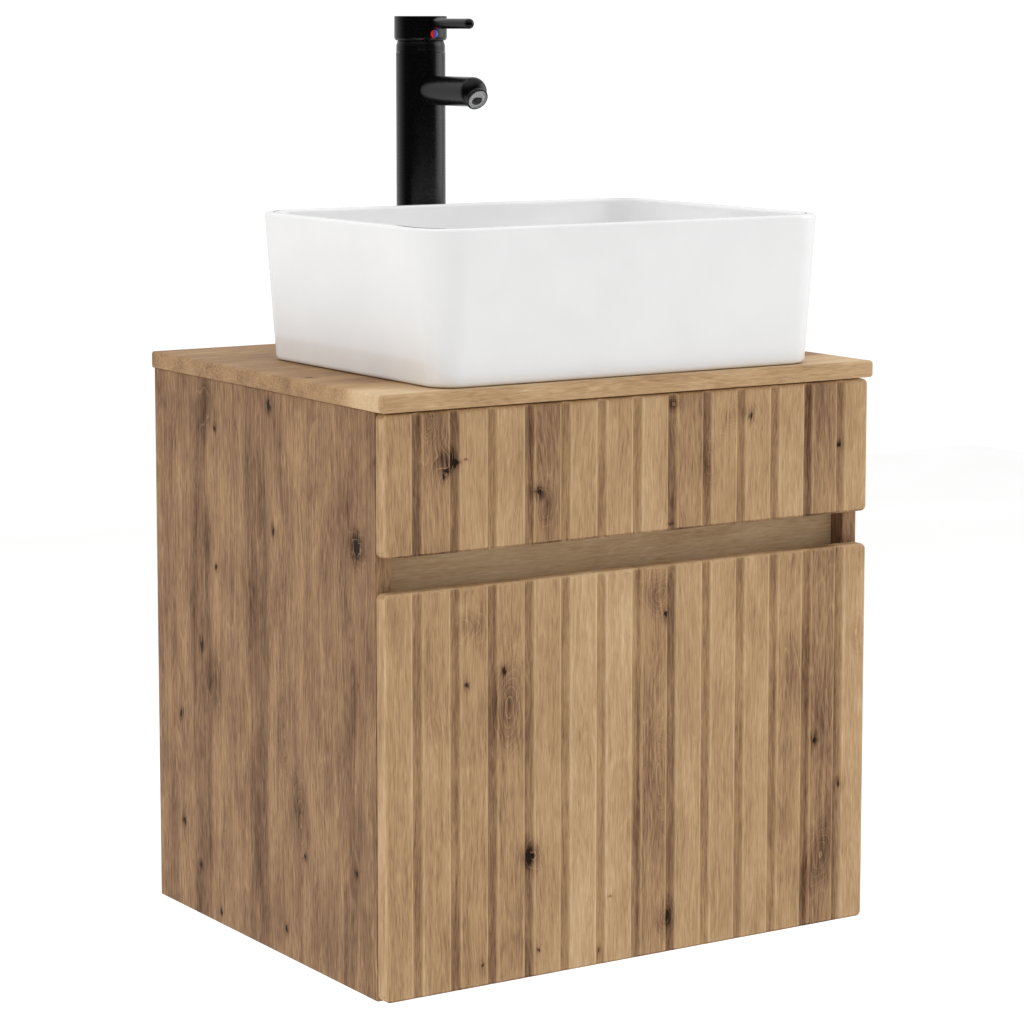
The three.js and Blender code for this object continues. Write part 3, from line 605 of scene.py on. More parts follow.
    def material(self) -> bpy.types.Material:
        """Builds the material.

        Formula: the tone is the stave's, plus the growth lines, plus each weight times a fibre
        pattern less 0.5, less the knots, pores and tone_drop, plus painted light and shade from the mesh.
        The palette turns it into a colour.

        Returns:
            The material.
        """
        recipe = Recipe(bpy.data.materials.new(self.name))
        place = recipe.add("Mapping", {
            "Vector": recipe.add("TexCoord", {}, "Object"), "Scale": (1 / MM,) * 3,
            "Location": self.lay.spread(-self.low_edge, 0, self.depth)})
        # The grain wanders by several mm over a hand's length, and a crack's edge by less.
        warped = self.wandering(recipe, place, (38, 150, 1.5), (17, 42))
        ragged = self.wandering(recipe, place, (5, 8, 2), (7, 9))
        rings, halo, heart = self.growth(recipe, warped, ragged)
        fibre = self.streaks(recipe, warped, 2.4, 80, 3)
        fine = self.streaks(recipe, warped, 1.0, 14, 1.5)
        smoke = self.streaks(recipe, warped, 24, 85, 2.5)
        short = self.streaks(recipe, ragged, 1.3, 11, 1)
        pores = recipe.add("MapRange", {0: short, 1: 0.6, 2: 0.72, 3: 0.0, 4: 1.0})
        tone = recipe.add("Math ADD", {
            0: self.stave(recipe, warped), 1: self.lines(recipe, rings, halo)})
        centred = ((fibre, 0.34), (fine, 0.5), (smoke, 0.42))
        for pattern, weight in (*centred, (halo, -1.0), (heart, -1.0), (pores, -0.06)):
            tone = recipe.add("Math MULTIPLY_ADD", {0: pattern, 1: weight, 2: tone})
        excess = 0.5 * sum(weight for _, weight in centred)
        tone = recipe.add("Math SUBTRACT", {0: tone, 1: excess + self.tone_drop})
        # Painted light from the mesh: painted highlights on arrises and eased edges, painted shade in
        # grooves and along the lower edge.
        if self.uses_painted_light:
            painted_light = recipe.add("Attribute", {}, "Fac", attribute_name="painted_light")
            tone = recipe.add("Math MULTIPLY_ADD", {0: painted_light, 1: self.PAINTED_LIGHT_TONE, 2: tone})
        colour = recipe.add("ValToRGB", {0: tone}, ramp=tuple((at, linear(c)) for at, c in self.PALETTE))
        relief = recipe.add("Math MULTIPLY_ADD", {0: pores, 1: -0.8, 2: fine})
        relief = recipe.add("Math MULTIPLY_ADD", {0: heart, 1: -1.5, 2: relief})
        bump = recipe.add("Bump", {"Height": relief, "Strength": 0.35, "Distance": 0.25 * MM})
        rough = recipe.add("Math MULTIPLY_ADD", {0: fine, 1: 0.18, 2: 0.52})
        return recipe.surface(Base_Color=colour, Roughness=rough, Normal=bump, Specular=0.22)


@dataclass(frozen=True)
class Coating:
    """A plain material whose look comes from its skin: paint, glaze, plating or moulding.

    Attributes:
        name: The real material's name.
        slot: The record's material slot; not used.
        colours: Two sRGB hex values that the surface drifts between.
        roughness: Lowest and highest roughness.
        grain: Size of the skin's grain in mm on X, Y and Z.
        relief: Depth of the grain, in mm.
        metallic: 1 for bare metal.
        specular: Strength of the reflection from a non-metal.
        coat: Weight of a clear gloss layer.
        clear: Share of light let through.
        cells: Whether the drift is in crystal-like cells and not in clouds.
    """

    name: str
    slot: str
    colours: tuple[str, str]
    roughness: tuple[float, float]
    grain: tuple[float, float, float]
    relief: float = 0.0
    metallic: float = 0.0
    specular: float = 0.5
    coat: float = 0.0
    clear: float = 0.0
    cells: bool = False

    def material(self) -> bpy.types.Material:
        """Builds the material.

        Formula: one noise drifts the colour and the roughness between their two values and
        raises the grain; in a plated skin, part of it is one level for each crystal.

        Returns:
            The material.
        """
        recipe = Recipe(bpy.data.materials.new(self.name))
        scaled = recipe.add("Mapping", {"Vector": recipe.add("TexCoord", {}, "Object"),
                                        "Scale": tuple(1 / (MM * size) for size in self.grain)})
        cloud = recipe.add("TexNoise", {"Vector": scaled, "Scale": 1.0, "Detail": 3.0})
        if self.cells:
            cell = recipe.add("TexVoronoi", {"Vector": scaled, "Scale": 1.0}, "Color")
            cloud = recipe.add("Mix", {0: 0.35, 6: cell, 7: cloud}, 2, data_type="RGBA")
        ends = (0.15, 0.9) if self.cells else (0.35, 0.65)  # where the drift reaches each colour
        colour = recipe.add("ValToRGB", {0: cloud},
                            ramp=tuple((at, linear(c)) for at, c in zip(ends, self.colours)))
        rough = recipe.add("MapRange", {0: cloud, 1: 0.3, 2: 0.7, 3: self.roughness[0],
                                        4: self.roughness[1]})
        bump = recipe.add("Bump", {"Height": cloud, "Strength": 0.5, "Distance": self.relief * MM})
        return recipe.surface(Base_Color=colour, Roughness=rough, Normal=bump, Metallic=self.metallic,
                              Specular=self.specular, Coat_Weight=self.coat, Coat_Roughness=0.04,
                              Transmission_Weight=self.clear)


# Fired white glaze over fireclay: very smooth, with a long soft ripple in its reflections.
GLAZE = Coating("glazed_fireclay", "glazed_basin", ("#f1f1f1", "#f4f4f4"), (0.08, 0.12),
                (60, 60, 60), 0.004, coat=0.3)
# Black powder coat baked on brass: fine orange peel that spreads a highlight into a soft band.
POWDER_COAT = Coating("black_powder_coated_brass", "matt_black_metal", ("#030303", "#060606"),
                      (0.23, 0.3), (0.9, 0.9, 0.9), 0.005, specular=0.42)
# Zinc plated pressed steel: pale cells of zinc with a blue-grey cast.
ZINC = Coating("zinc_plated_steel", "zinc_steel", ("#8f9499", "#b9bdc0"), (0.26, 0.44),
               (7, 7, 7), 0.01, metallic=1.0, cells=True)
# Woven stainless screen, dulled by water: wires too fine to mirror anything.
SCREEN = Coating("dulled_stainless_screen", "zinc_steel", ("#9c9c9c", "#bcbcbc"), (0.5, 0.66),
                 (1.1, 1.1, 1.1), 0.02, metallic=0.3)
# Chrome over polished brass: a mirror with faint drying haze.
CHROME = Coating("polished_chrome_plate", "chrome_waste", ("#d2d4d7", "#dddfe1"), (0.04, 0.09),
                 (22, 22, 22), 0.004, metallic=1.0)
# Machined brass: fine turned lines round the thread.
BRASS = Coating("machined_brass", "brass_fitting", ("#a98945", "#c9a860"), (0.24, 0.38),
                (9, 9, 0.8), 0.02, metallic=1.0)
# Moulded EPDM seals: dark, dull and slightly dusty.
RUBBER = Coating("moulded_epdm_rubber", "black_rubber", ("#19191a", "#262627"), (0.7, 0.88),
                 (2, 2, 2), 0.03, specular=0.3)
# Soft clear polyurethane bumpers.
BUMPER = Coating("clear_polyurethane", "clear_bumper", ("#d6d7d2", "#e3e3df"), (0.22, 0.34),
                 (3, 3, 3), 0.02, clear=0.55)
# Injection-moulded ABS with a spark-eroded texture.
WHITE_PLASTIC = Coating("moulded_white_abs", "white_plastic", ("#dcdcd8", "#e8e8e5"), (0.42, 0.56),
                        (0.9, 0.9, 0.9), 0.02)
GREY_PLASTIC = Coating("moulded_grey_polypropylene", "grey_plastic", ("#7f8183", "#909294"),
                       (0.42, 0.58), (1.1, 1.1, 1.1), 0.02)
# Stove enamel in the hot and cold marks: deep colour under a gloss skin.
RED_ENAMEL = Coating("red_stove_enamel", "red_enamel", ("#cf2a1b", "#df3a26"), (0.14, 0.22),
                     (1.5, 1.5, 1.5), 0.01, coat=0.6)
BLUE_ENAMEL = Coating("blue_stove_enamel", "blue_enamel", ("#3446b4", "#4557c6"), (0.14, 0.22),
                      (1.5, 1.5, 1.5), 0.01, coat=0.6)

# The drawer front: staves and knots from left to right.
DRAWER_OAK = OakDecor(
    "knotty_oak_drawer_front", Lay.UPRIGHT_FRONT, -250.0,
    staves=((0, 0.5), (66, 0.5), (72, 0.46), (138, 0.44), (145, 0.52), (176, 0.54), (186, 0.62),
            (246, 0.6), (252, 0.4), (288, 0.4), (296, 0.52), (392, 0.55), (402, 0.47), (434, 0.45),
            (440, 0.3), (468, 0.3), (474, 0.56), (500, 0.6)),
    knots=(
        Knot(80, 310, 24, 0.16, rings=2, stretch=0.8), Knot(78, 261, 7, 0.14, core=2.2),
        Knot(115, 270, 8, 0.16, core=2.6), Knot(122, 240, 24, 0.2, rings=5, stretch=2.2),
        Knot(142, 107, 15, 0.3, core=4.6, rings=2, stretch=1.5),
        Knot(273, 325, 26, 0.18, rings=5, stretch=1.0), Knot(280, 302, 9, 0.18, core=2.4),
        Knot(268, 165, 24, 0.08, rings=5, stretch=2.8), Knot(280, 35, 24, 0.14, rings=4, stretch=1.1),
        Knot(284, 33, 8, 0.2, core=2.8), Knot(443, 172, 8, 0.2, core=2.4),
        Knot(473, 127, 8, 0.18, core=2.0), Knot(453, 60, 22, 0.12, rings=5, stretch=2.0),
        Knot(490, 262, 16, 0.1, rings=3, stretch=1.6), Knot(93, 21, 8, 0.16, core=1.8),
        Knot(150, 25, 6, 0.14, core=1.5), Knot(213, 15, 6, 0.1, core=1.4),
        Knot(223, 60, 5, 0.1, core=1.4), Knot(418, 240, 24, 0.1, rings=1, stretch=3.0),
    ), depth=31.0, tone_drop=-0.03, uses_painted_light=True)
# The fixed top front: one large cracked knot on the left under an oval swirl.
TOP_FRONT_OAK = OakDecor(
    "knotty_oak_top_front", Lay.UPRIGHT_FRONT, -250.0,
    staves=((0, 0.48), (26, 0.47), (34, 0.38), (66, 0.4), (76, 0.56), (136, 0.53), (143, 0.38),
            (170, 0.38), (178, 0.54), (248, 0.56), (256, 0.6), (278, 0.58), (286, 0.4), (322, 0.42),
            (332, 0.54), (392, 0.54), (402, 0.58), (424, 0.56), (432, 0.32), (462, 0.4), (474, 0.54),
            (500, 0.62)),
    knots=(
        Knot(60, 446, 16, 0.26, rings=2, stretch=1.1), Knot(68, 449, 10, 0.14, core=4.3, stretch=0.8),
        Knot(77, 451, 8, 0.06, core=2.6, stretch=0.6), Knot(59, 443, 7, 0.1, core=2.9, stretch=0.9),
        Knot(56, 437, 7, 0.1, core=2.0, stretch=1.3),
        Knot(47, 481, 19, 0.14, rings=6, stretch=1.2), Knot(50, 462, 30, 0.12, rings=3, stretch=1.6),
        Knot(149, 419, 11, 0.2, core=2.8, rings=1.5, stretch=1.1),
        Knot(156, 400, 14, 0.1, rings=3, stretch=2.2),
        Knot(369, 469, 10, 0.24, core=3.0), Knot(352, 466, 26, 0.1, rings=5, stretch=1.0),
        Knot(293, 485, 12, 0.2, rings=2, stretch=1.0), Knot(470, 436, 6, 0.18, core=2.2),
        Knot(285, 380, 7, 0.14, core=1.6, stretch=0.5), Knot(325, 430, 14, 0.08, rings=3, stretch=2.6),
    ), depth=57.0, tone_drop=-0.01, uses_painted_light=True)
SIDE_KNOTS = (
    Knot(181, 481, 9, 0.24, core=3.2), Knot(174, 373, 8, 0.22, core=2.8),
    Knot(30, 378, 18, 0.3, core=5.5, rings=3, stretch=1.4), Knot(282, 327, 8, 0.2, core=2.6),
    Knot(312, 251, 9, 0.22, core=2.8), Knot(354, 180, 8, 0.2, core=2.4), Knot(278, 12, 7, 0.16, core=2.2),
    Knot(350, 81, 8, 0.18, core=2.4), Knot(318, 46, 7, 0.16, core=2.0), Knot(156, 25, 7, 0.16, core=2.0),
    Knot(122, 96, 7, 0.16, core=2.2), Knot(33, 101, 7, 0.16, core=2.2), Knot(282, 451, 7, 0.16, core=2.0),
    Knot(302, 470, 26, 0.14, rings=2, stretch=1.4), Knot(287, 227, 24, 0.14, rings=2, stretch=1.6),
    Knot(132, 130, 24, 0.12, rings=3, stretch=1.8), Knot(322, 375, 24, 0.06, rings=6, stretch=2.6),
    Knot(157, 195, 24, 0.06, rings=6, stretch=2.6),
)
SIDE_STAVES = ((0, 0.5), (32, 0.5), (38, 0.44), (50, 0.46), (60, 0.52), (120, 0.54), (182, 0.52),
               (190, 0.42), (218, 0.42), (226, 0.54), (292, 0.54), (300, 0.44), (326, 0.44),
               (334, 0.52), (400, 0.5))
SIDE_OAK = {side: OakDecor(f"knotty_oak_side_{side}", Lay.UPRIGHT_SIDE, -189.75, SIDE_STAVES,
                           SIDE_KNOTS, depth, tone_drop=0.17)
            for side, depth in (("left", 83.0), ("right", 620.0))}
# The pale band from 7 to 50 mm behind the front edge is partly the wood's own tone and partly painted
# light: the basin's bounce and a sheen along the front.
WORKTOP_OAK = OakDecor(
    "knotty_oak_worktop", Lay.FLAT, -208.75,
    staves=((0, 0.6), (3, 0.62), (7, 0.86), (50, 0.8), (75, 0.46), (150, 0.46), (160, 0.38),
            (240, 0.44), (250, 0.47), (330, 0.4), (340, 0.46), (420, 0.42)),
    knots=(Knot(40, -150, 16, 0.08, rings=3, stretch=3.0), Knot(150, -238, 9, 0.18, core=2.4),
           Knot(300, 228, 10, 0.2, core=3.0), Knot(262, -226, 22, 0.1, rings=4, stretch=2.4),
           Knot(120, 236, 18, 0.08, rings=3, stretch=3.0)), depth=109.0)
# The strip sits in the shade of the grip recess; its tone is raised by 0.3 as painted light.
STRIP_OAK = OakDecor("oak_strip_painted_light", Lay.LONG_RAIL, 324.5, ((0, 0.5), (60, 0.46), (170, 0.5)),
                     depth=139.0, tone_drop=-0.3, slot="oak_strip")
RAIL_OAK = OakDecor("plain_oak_rail", Lay.LONG_RAIL, 0.0, ((0, 0.5), (240, 0.52), (494, 0.5)),
                    depth=167.0)
PANEL_OAK = OakDecor("plain_oak_panel", Lay.FLAT, -190.0, ((0, 0.52), (180, 0.48), (400, 0.53)),
                     (Knot(120, -90, 12, 0.2, core=3.0, rings=2), Knot(290, 130, 9, 0.18, core=2.4)),
                     depth=191.0)
DRAWER_SIDE_OAK = OakDecor("plain_oak_drawer_side", Lay.LONG_SIDE, 24.0,
                           ((0, 0.5), (90, 0.54), (165, 0.5)), depth=223.0)


class Wardrobe:
    def __init__(self) -> None:
        """Starts with no material made."""
        self.made: dict[str, bpy.types.Material] = {}

    def material(self, finish: OakDecor | Coating) -> bpy.types.Material:
        """The finish's material, made once."""
        if finish.name not in self.made:
            self.made[finish.name] = finish.material()
        return self.made[finish.name]

    def dress(self, piece: bpy.types.Object, finish: OakDecor | Coating, node: str) -> None:
        """Finishes a new piece that stands for a CAD node, and puts it on the node's body.

        Args:
            piece: The new piece.
            finish: Its finish.
            node: The CAD node.
        """
        piece.data.materials.append(self.material(finish))
        body = frame["nodes"][node]["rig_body"]
        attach(piece, body)
        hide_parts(node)
        LOG.info("%s: %s, rides on %s", piece.name, finish.name, body)

    def put(self, node: str, finish: OakDecor | Coating, *patches: Patch, crease: float = 38.0) -> None:
        """Builds a piece from patches in place of a CAD node.

        Args:
            node: The CAD node.
            finish: The piece's finish.
            *patches: Patches whose borders meet.
            crease: Angle in degrees past which an edge is shaded sharp.
        """
        self.dress(build("fine_" + node, patches, crease), finish, node)

    def ease(self, node: str, finish: OakDecor | Coating, width: float) -> None:
        """Puts a copy of a CAD node, with its edges eased, in its place.

        Args:
            node: The CAD node.
            finish: The copy's finish.
            width: Width of the eased edges, in millimetres.
        """
        self.dress(eased_copy(node, width * MM), finish, node)

    def repaint(self, node: str, finish: OakDecor | Coating) -> None:
        """Gives a CAD node that stays as it is a better material."""
        for held in frame["nodes"][node].material_slots:
            held.material = self.material(finish)
        LOG.info("%s: %s, CAD shape kept", node, finish.name)


def corners_of(node: str) -> tuple[Array, Array]:
    """The lowest and the highest corner of a CAD node's box."""
    low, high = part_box(node)
    return np.array(low), np.array(high)


def middle(node: str) -> Array:
    """The middle of a CAD node's box."""
    low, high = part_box(node)
    return np.array((low + high) / 2)


# ---- Sub-assemblies ----
@dataclass
class Fronts:
    """The two grooved fronts."""

    grooves: int = 13
    first_groove: float = 30.4 * MM
    groove_half: float = 5.25 * MM
    groove_slope: float = 2.2 * MM
    groove_depth: float = 3.0 * MM
    arris: float = 0.9 * MM  # how far a groove's edges are rounded each way
    edge_radius: float = 4.0 * MM
    corner_radius: float = 5.0 * MM
    settle_width: float = 22.0 * MM  # corners bend the columns only this far in
    back_ease: float = 0.6 * MM
    blend: float = 0.5 * MM  # over which a groove runs into an eased edge
    plain_from: float = 9.0 * MM  # from the ends, where the rows are far apart
    edge_highlight: float = 1.7  # painted highlight on a groove's arris and on the eased edges
    groove_shade: float = 1.9  # painted shade taken from a groove's floor
    seam: float = -1.8  # painted shade along the lower edge, where the eased edge faces down
    # Columns and rows, in mm from an edge and from a groove's middle.
    edge_steps: tuple[float, ...] = (0, 0.12, 0.4, 0.8, 1.3, 1.9, 2.6, 3.3, 4.0, 5.0, 6.5)
    groove_steps: tuple[float, ...] = (0, 1.4, 2.4, 2.9, 3.2, 3.6, 4.1, 4.6, 5.0, 5.4, 5.8, 6.15, 7.0)

    def centres(self, width: float) -> Array:
        """Distance of each groove's middle from the left edge of a front."""
        return np.linspace(self.first_groove, width - self.first_groove, self.grooves)

    def columns(self, width: float) -> tuple[Array, Array]:
        """Places of the face's columns, and the groove's depth at each.

        Formula: the depth falls from 0 to the groove's depth by a smooth step across the
        groove's wall; the smooth step of t is t * t * (3 - 2 t).

        Args:
            width: The front's width.

        Returns:
            Distance from the left edge, and depth.
        """
        centres = self.centres(width)
        steps = np.array(self.groove_steps) * MM
        offsets = np.concatenate([-steps[:0:-1], steps])
        edges = np.array(self.edge_steps) * MM
        place = np.unique(np.concatenate([(centres[:, None] + offsets).ravel(), edges, width - edges]))
        nearest = np.abs(place[:, None] - centres).min(1)
        slope = self.groove_slope + 2 * self.arris
        wall = np.clip((self.groove_half + self.arris - nearest) / slope, 0, 1)
        return place, self.groove_depth * wall**2 * (3 - 2 * wall)

    def patches(self, node: str) -> list[Patch]:
        """The closed surface of one front.

        Formula: the face stands back by the larger of the groove's depth and the eased edge's,
        r - sqrt(r^2 - (r - s)^2) at s inside the rounded outline; the two run into each other
        over half a millimetre, which leaves a soft scallop where a groove meets an edge. Near a
        corner the columns are drawn in by r - sqrt(r^2 - (r - s)^2), at s from the front's end.
        Painted light is highest on a groove's arris and on the eased edge, a painted highlight, and
        lowest in a groove, painted shade; a line of painted shade runs along the lower edge.

        Args:
            node: The CAD node of the front.

        Returns:
            Its patches.
        """
        low, high = corners_of(node)
        width, height = high[0] - low[0], high[2] - low[2]
        place, groove = self.columns(width)
        edges = np.array(self.edge_steps) * MM
        inner = np.linspace(self.plain_from, height - self.plain_from, 9)
        rise = np.unique(np.concatenate([edges, height - edges, inner]))
        round_, settle = self.corner_radius, self.settle_width
        from_end = np.minimum(rise, height - rise)[:, None]
        from_side = np.minimum(place, width - place)[None, :]
        pull = round_ - np.sqrt(round_**2 - np.maximum(round_ - from_end, 0) ** 2)
        pulled = np.where(from_side < settle, pull + from_side * (settle - pull) / settle, from_side)
        beyond = np.maximum(round_ - pulled, 0), np.maximum(round_ - from_end, 0)
        inside = np.where(np.minimum(*beyond) > 0, round_ - np.hypot(*beyond),
                          np.minimum(pulled, from_end))
        short = np.maximum(self.edge_radius - inside, 0)
        eased = self.edge_radius - np.sqrt(np.maximum(self.edge_radius**2 - short**2, 0))
        meet = np.sqrt((groove - eased) ** 2 + self.blend**2) - self.blend
        depth = (groove + eased + meet) / 2
        x = np.where(place < width / 2, low[0] + pulled, high[0] - pulled)
        z = np.broadcast_to(low[2] + rise[:, None], x.shape)
        face = np.stack([x, low[1] + depth, z], -1)
        # Painted light: a painted highlight on each groove's arris and on the eased edges, and painted
        # shade on each groove's floor.
        arris = np.exp(-((self.from_arris(place, width) / self.arris) ** 2))
        lit = np.maximum(arris[None, :], np.clip(eased / (0.5 * self.edge_radius), 0, 1))
        painted_light = self.edge_highlight * lit - self.groove_shade * np.clip(groove / self.groove_depth - 0.35, 0, 1)
        # Painted shade: a dark line along the lower edge.
        painted_light[rise < 0.6 * self.edge_radius] = self.seam
        centre = (low + high) / 2
        shrink = 1 - 2 * self.back_ease / np.array([width, 1, height])
        back = (face - centre) * shrink + centre
        back[..., 1] = high[1]
        rim, back_rim = self.border(face), self.border(back)
        wall = rim.copy()
        wall[:, 1] = high[1] - self.back_ease
        return [Patch(face, ring_columns=False, painted_light=painted_light), Patch(back, ring_columns=False),
                Patch(np.stack([rim, wall, wall * 0.3 + back_rim * 0.7, back_rim]))]

    def from_arris(self, place: Array, width: float) -> Array:
        """Distance of each column from the nearest edge of a groove."""
        return np.abs(np.abs(place[:, None] - self.centres(width)) - self.groove_half - 0.1 * MM).min(1)

    @staticmethod
    def border(grid: Array) -> Array:
        """The points round a grid's edge, in order."""
        return np.concatenate([grid[0], grid[1:, -1], grid[-1, -2::-1], grid[-2:0:-1, 0]])

    def make(self, wardrobe: Wardrobe) -> None:
        """Builds and dresses both fronts."""
        for node, finish in (("top_front_panel", TOP_FRONT_OAK), ("drawer_front", DRAWER_OAK)):
            wardrobe.put(node, finish, *self.patches(node))


@dataclass
class Carcass:
    """Side panels, rails, bottom panel and the blocks and bumpers behind the fronts."""

    edge: float = 0.7 * MM
    corner_steps: int = 3

    def board(self, node: str, finish: OakDecor, wardrobe: Wardrobe) -> None:
        """Builds a plain board with eased edges.

        Formula: the board's outline seen from above, a softened rectangle, is carried up.

        Args:
            node: The CAD node.
            finish: The board's decor.
            wardrobe: Dresses it.
        """
        (x0, y0, z0), (x1, y1, z1) = corners_of(node)
        outline = soften(np.array([(x0, y0), (x1, y0), (x1, y1), (x0, y1)]), self.edge, self.corner_steps)
        wardrobe.put(node, finish, pushed(outline, z0, z1, self.edge, (0, 1, 2)))

    def make(self, wardrobe: Wardrobe) -> None:
        """Builds and dresses the carcass."""
        for side, decor in SIDE_OAK.items():
            self.board(f"side_panel_{side}", decor, wardrobe)
            self.board(f"front_block_{side}", RAIL_OAK, wardrobe)
            wardrobe.repaint(f"bumper_{side}", BUMPER)
        self.board("grip_rail", STRIP_OAK, wardrobe)
        self.board("lower_rail", RAIL_OAK, wardrobe)
        wardrobe.ease("bottom_panel", PANEL_OAK, 0.5)
        wardrobe.ease("hanging_rail", RAIL_OAK, 0.5)
        for number in range(1, 5):
            wardrobe.ease(f"cam_lock_{number}", ZINC, 0.25)


@dataclass
class Worktop:
    """The worktop, with its eased front and sides and its two holes."""

    edge_radius: float = 3.0 * MM
    corner_radius: float = 4.0 * MM
    drain_hole: float = 23.0 * MM
    tap_hole: float = 17.5 * MM
    steps: int = 6
    side_points: int = 8

    def loop(self, inset_by: float, low: Array, high: Array, split: float) -> tuple[Array, Array]:
        """The worktop's outline drawn in at the front and sides.

        Formula: straight sides with a quarter circle at each corner.

        Args:
            inset_by: How far it is drawn in.
            low: Lowest corner of the worktop.
            high: Highest corner.
            split: Y at which the front and rear halves part.

        Returns:
            Points of the front half from left to right, and of the rear half from right to left.
        """
        x0, x1 = low[0] + inset_by, high[0] - inset_by
        y0, y1 = low[1] + inset_by, high[1]
        radius = max(self.corner_radius - inset_by, 0.6 * MM)
        angle = np.linspace(0, TURN / 4, self.steps + 1)[:, None]
        quarter = radius * np.concatenate([np.cos(angle), np.sin(angle)], 1)
        flip, swap = np.array((-1, 1)), quarter[:, ::-1]
        front_left = (x0 + radius, y0 + radius) - quarter
        front_right = (x1 - radius, y0 + radius) + swap * (1, -1)
        rear_right = (x1 - radius, y1 - radius) + quarter
        rear_left = (x0 + radius, y1 - radius) + swap * flip
        share = np.linspace(0, 1, self.side_points)[1:-1, None]
        front = front_left[-1] + (front_right[0] - front_left[-1]) * share
        rear = rear_right[-1] + (rear_left[0] - rear_right[-1]) * share
        return (np.concatenate([[(x0, split)], front_left, front, front_right, [(x1, split)]]),
                np.concatenate([[(x1, split)], rear_right, rear, rear_left, [(x0, split)]]))

    def make(self, wardrobe: Wardrobe) -> None:
        """Builds and dresses the worktop.

        Formula: the rim is the outline at the heights of two quarter circles; each half of the
        top and bottom runs in straight lines from its border to its round hole.
        """
        low, high = corners_of("worktop")
        holes = ((middle("basin")[:2], self.drain_hole), (middle("tap_body")[:2], self.tap_hole))
        split = (holes[0][0][1] + self.drain_hole + holes[1][0][1] - self.tap_hole) / 2
        angle = np.linspace(0, TURN / 4, 7)
        drawn, rise = self.edge_radius * (1 - np.sin(angle)), self.edge_radius * (1 - np.cos(angle))
        guard = 1.2 * self.edge_radius
        levels = [(guard, low[2]), *zip(drawn, low[2] + rise), (0, low[2] + guard), (0, high[2] - guard),
                  *zip(drawn[::-1], high[2] - rise[::-1]), (guard, high[2])]
        loops = [self.loop(by, low, high, split) for by, _ in levels]
        rim = np.stack([np.concatenate([front, rear[1:-1]]) for front, rear in loops])
        patches = [Patch(raised(rim, np.array([z for _, z in levels])))]
        share = np.linspace(0, 1, self.side_points)[1:-1, None]
        reach = np.array([1.0, 0.5, 0.05, 0.0])  # from the border to the hole's edge
        for half, (centre, radius) in enumerate(holes):
            circles = []
            for end in (0, -1):
                border = loops[end][half]
                seam = border[-1] + (border[0] - border[-1]) * share
                border = np.concatenate([border, seam])
                spoke = (border - centre) / np.linalg.norm(border - centre, axis=1, keepdims=True)
                circle = centre + radius * spoke
                rows = circle + (border - circle) * reach[:, None, None]
                patches.append(Patch(raised(rows, np.full(len(reach), levels[end][1]))))
                circles.append(circle)
            patches.append(Patch(raised(np.stack(circles), np.array([low[2], high[2]]))))
        wardrobe.put("worktop", WORKTOP_OAK, *patches)


@dataclass
class Basin:
    """The rectangular vessel basin."""

    taper: float = 11 * MM
    foot_radius: float = 22 * MM
    rim_radius: float = 38 * MM
    wall: float = 10 * MM
    floor: float = 18 * MM
    bowl_radius: float = 20 * MM
    rim_round: float = 3.2 * MM
    foot_round: float = 4.5 * MM
    drain: float = 23 * MM
    fall: float = 2.5 * MM  # how much the floor falls to the drain
    chords: int = 16  # in each rounded corner of the wall's section
    corner_chords: int = 18  # in each corner seen from above

    def make(self, wardrobe: Wardrobe) -> None:
        """Builds and dresses the basin.

        Formula: the wall's section, listed as distance in from the rim's outline and height, is
        softened at its corners and swept round rectangles whose corner radius grows with height;
        the floor's loops run from the bowl's rectangle to the drain's circle.
        """
        low, high = corners_of("basin")
        half, height = (high[:2] - low[:2]) / 2, high[2] - low[2]
        bowl_foot = self.taper * (1 - self.floor / height) + self.wall
        bowl_floor = self.floor + self.fall
        section = soften(np.array([
            (self.taper + 14 * MM, 0), (self.taper, 0), (0, height), (self.wall, height),
            (bowl_foot, bowl_floor), (bowl_foot + self.bowl_radius + 9 * MM, bowl_floor),
        ]), [0, self.foot_round, self.rim_round, self.rim_round, self.bowl_radius * 1.25, 0], self.chords)
        # The two end corners are drawn by the base's and the floor's loops.
        into, above = section[self.chords - 2:2 - self.chords].T
        radius = self.foot_radius + (self.rim_radius - self.foot_radius) * above / height
        inside = np.arange(len(into)) > len(into) / 2
        inner = np.clip((into - self.wall * 0.5) / (self.wall * 0.5), 0, 1) * inside
        radius = np.maximum(radius - self.wall * inner, self.wall)
        share = np.array([0.04, 0.2, 0.4, 0.6, 0.8, 0.94, 1.0])
        last, last_radius, drain = half - into[-1], radius[-1], np.full(2, self.drain)
        halves = np.concatenate([np.stack([drain, half - into[0] - 6 * MM]), half - into[:, None],
                                 last + (drain - last) * share[:, None]])
        radii = np.concatenate([[self.drain, self.foot_radius], radius,
                                last_radius + (self.drain - last_radius) * share])
        heights = np.concatenate([[0, 0], above, self.floor + self.fall * (1 - share) ** 1.5])
        points = raised(rounded_loops(halves, radii, self.corner_chords), low[2] + heights)
        points[..., :2] += (low[:2] + high[:2]) / 2
        wardrobe.put("basin", GLAZE, Patch(points, ring_rows=True))


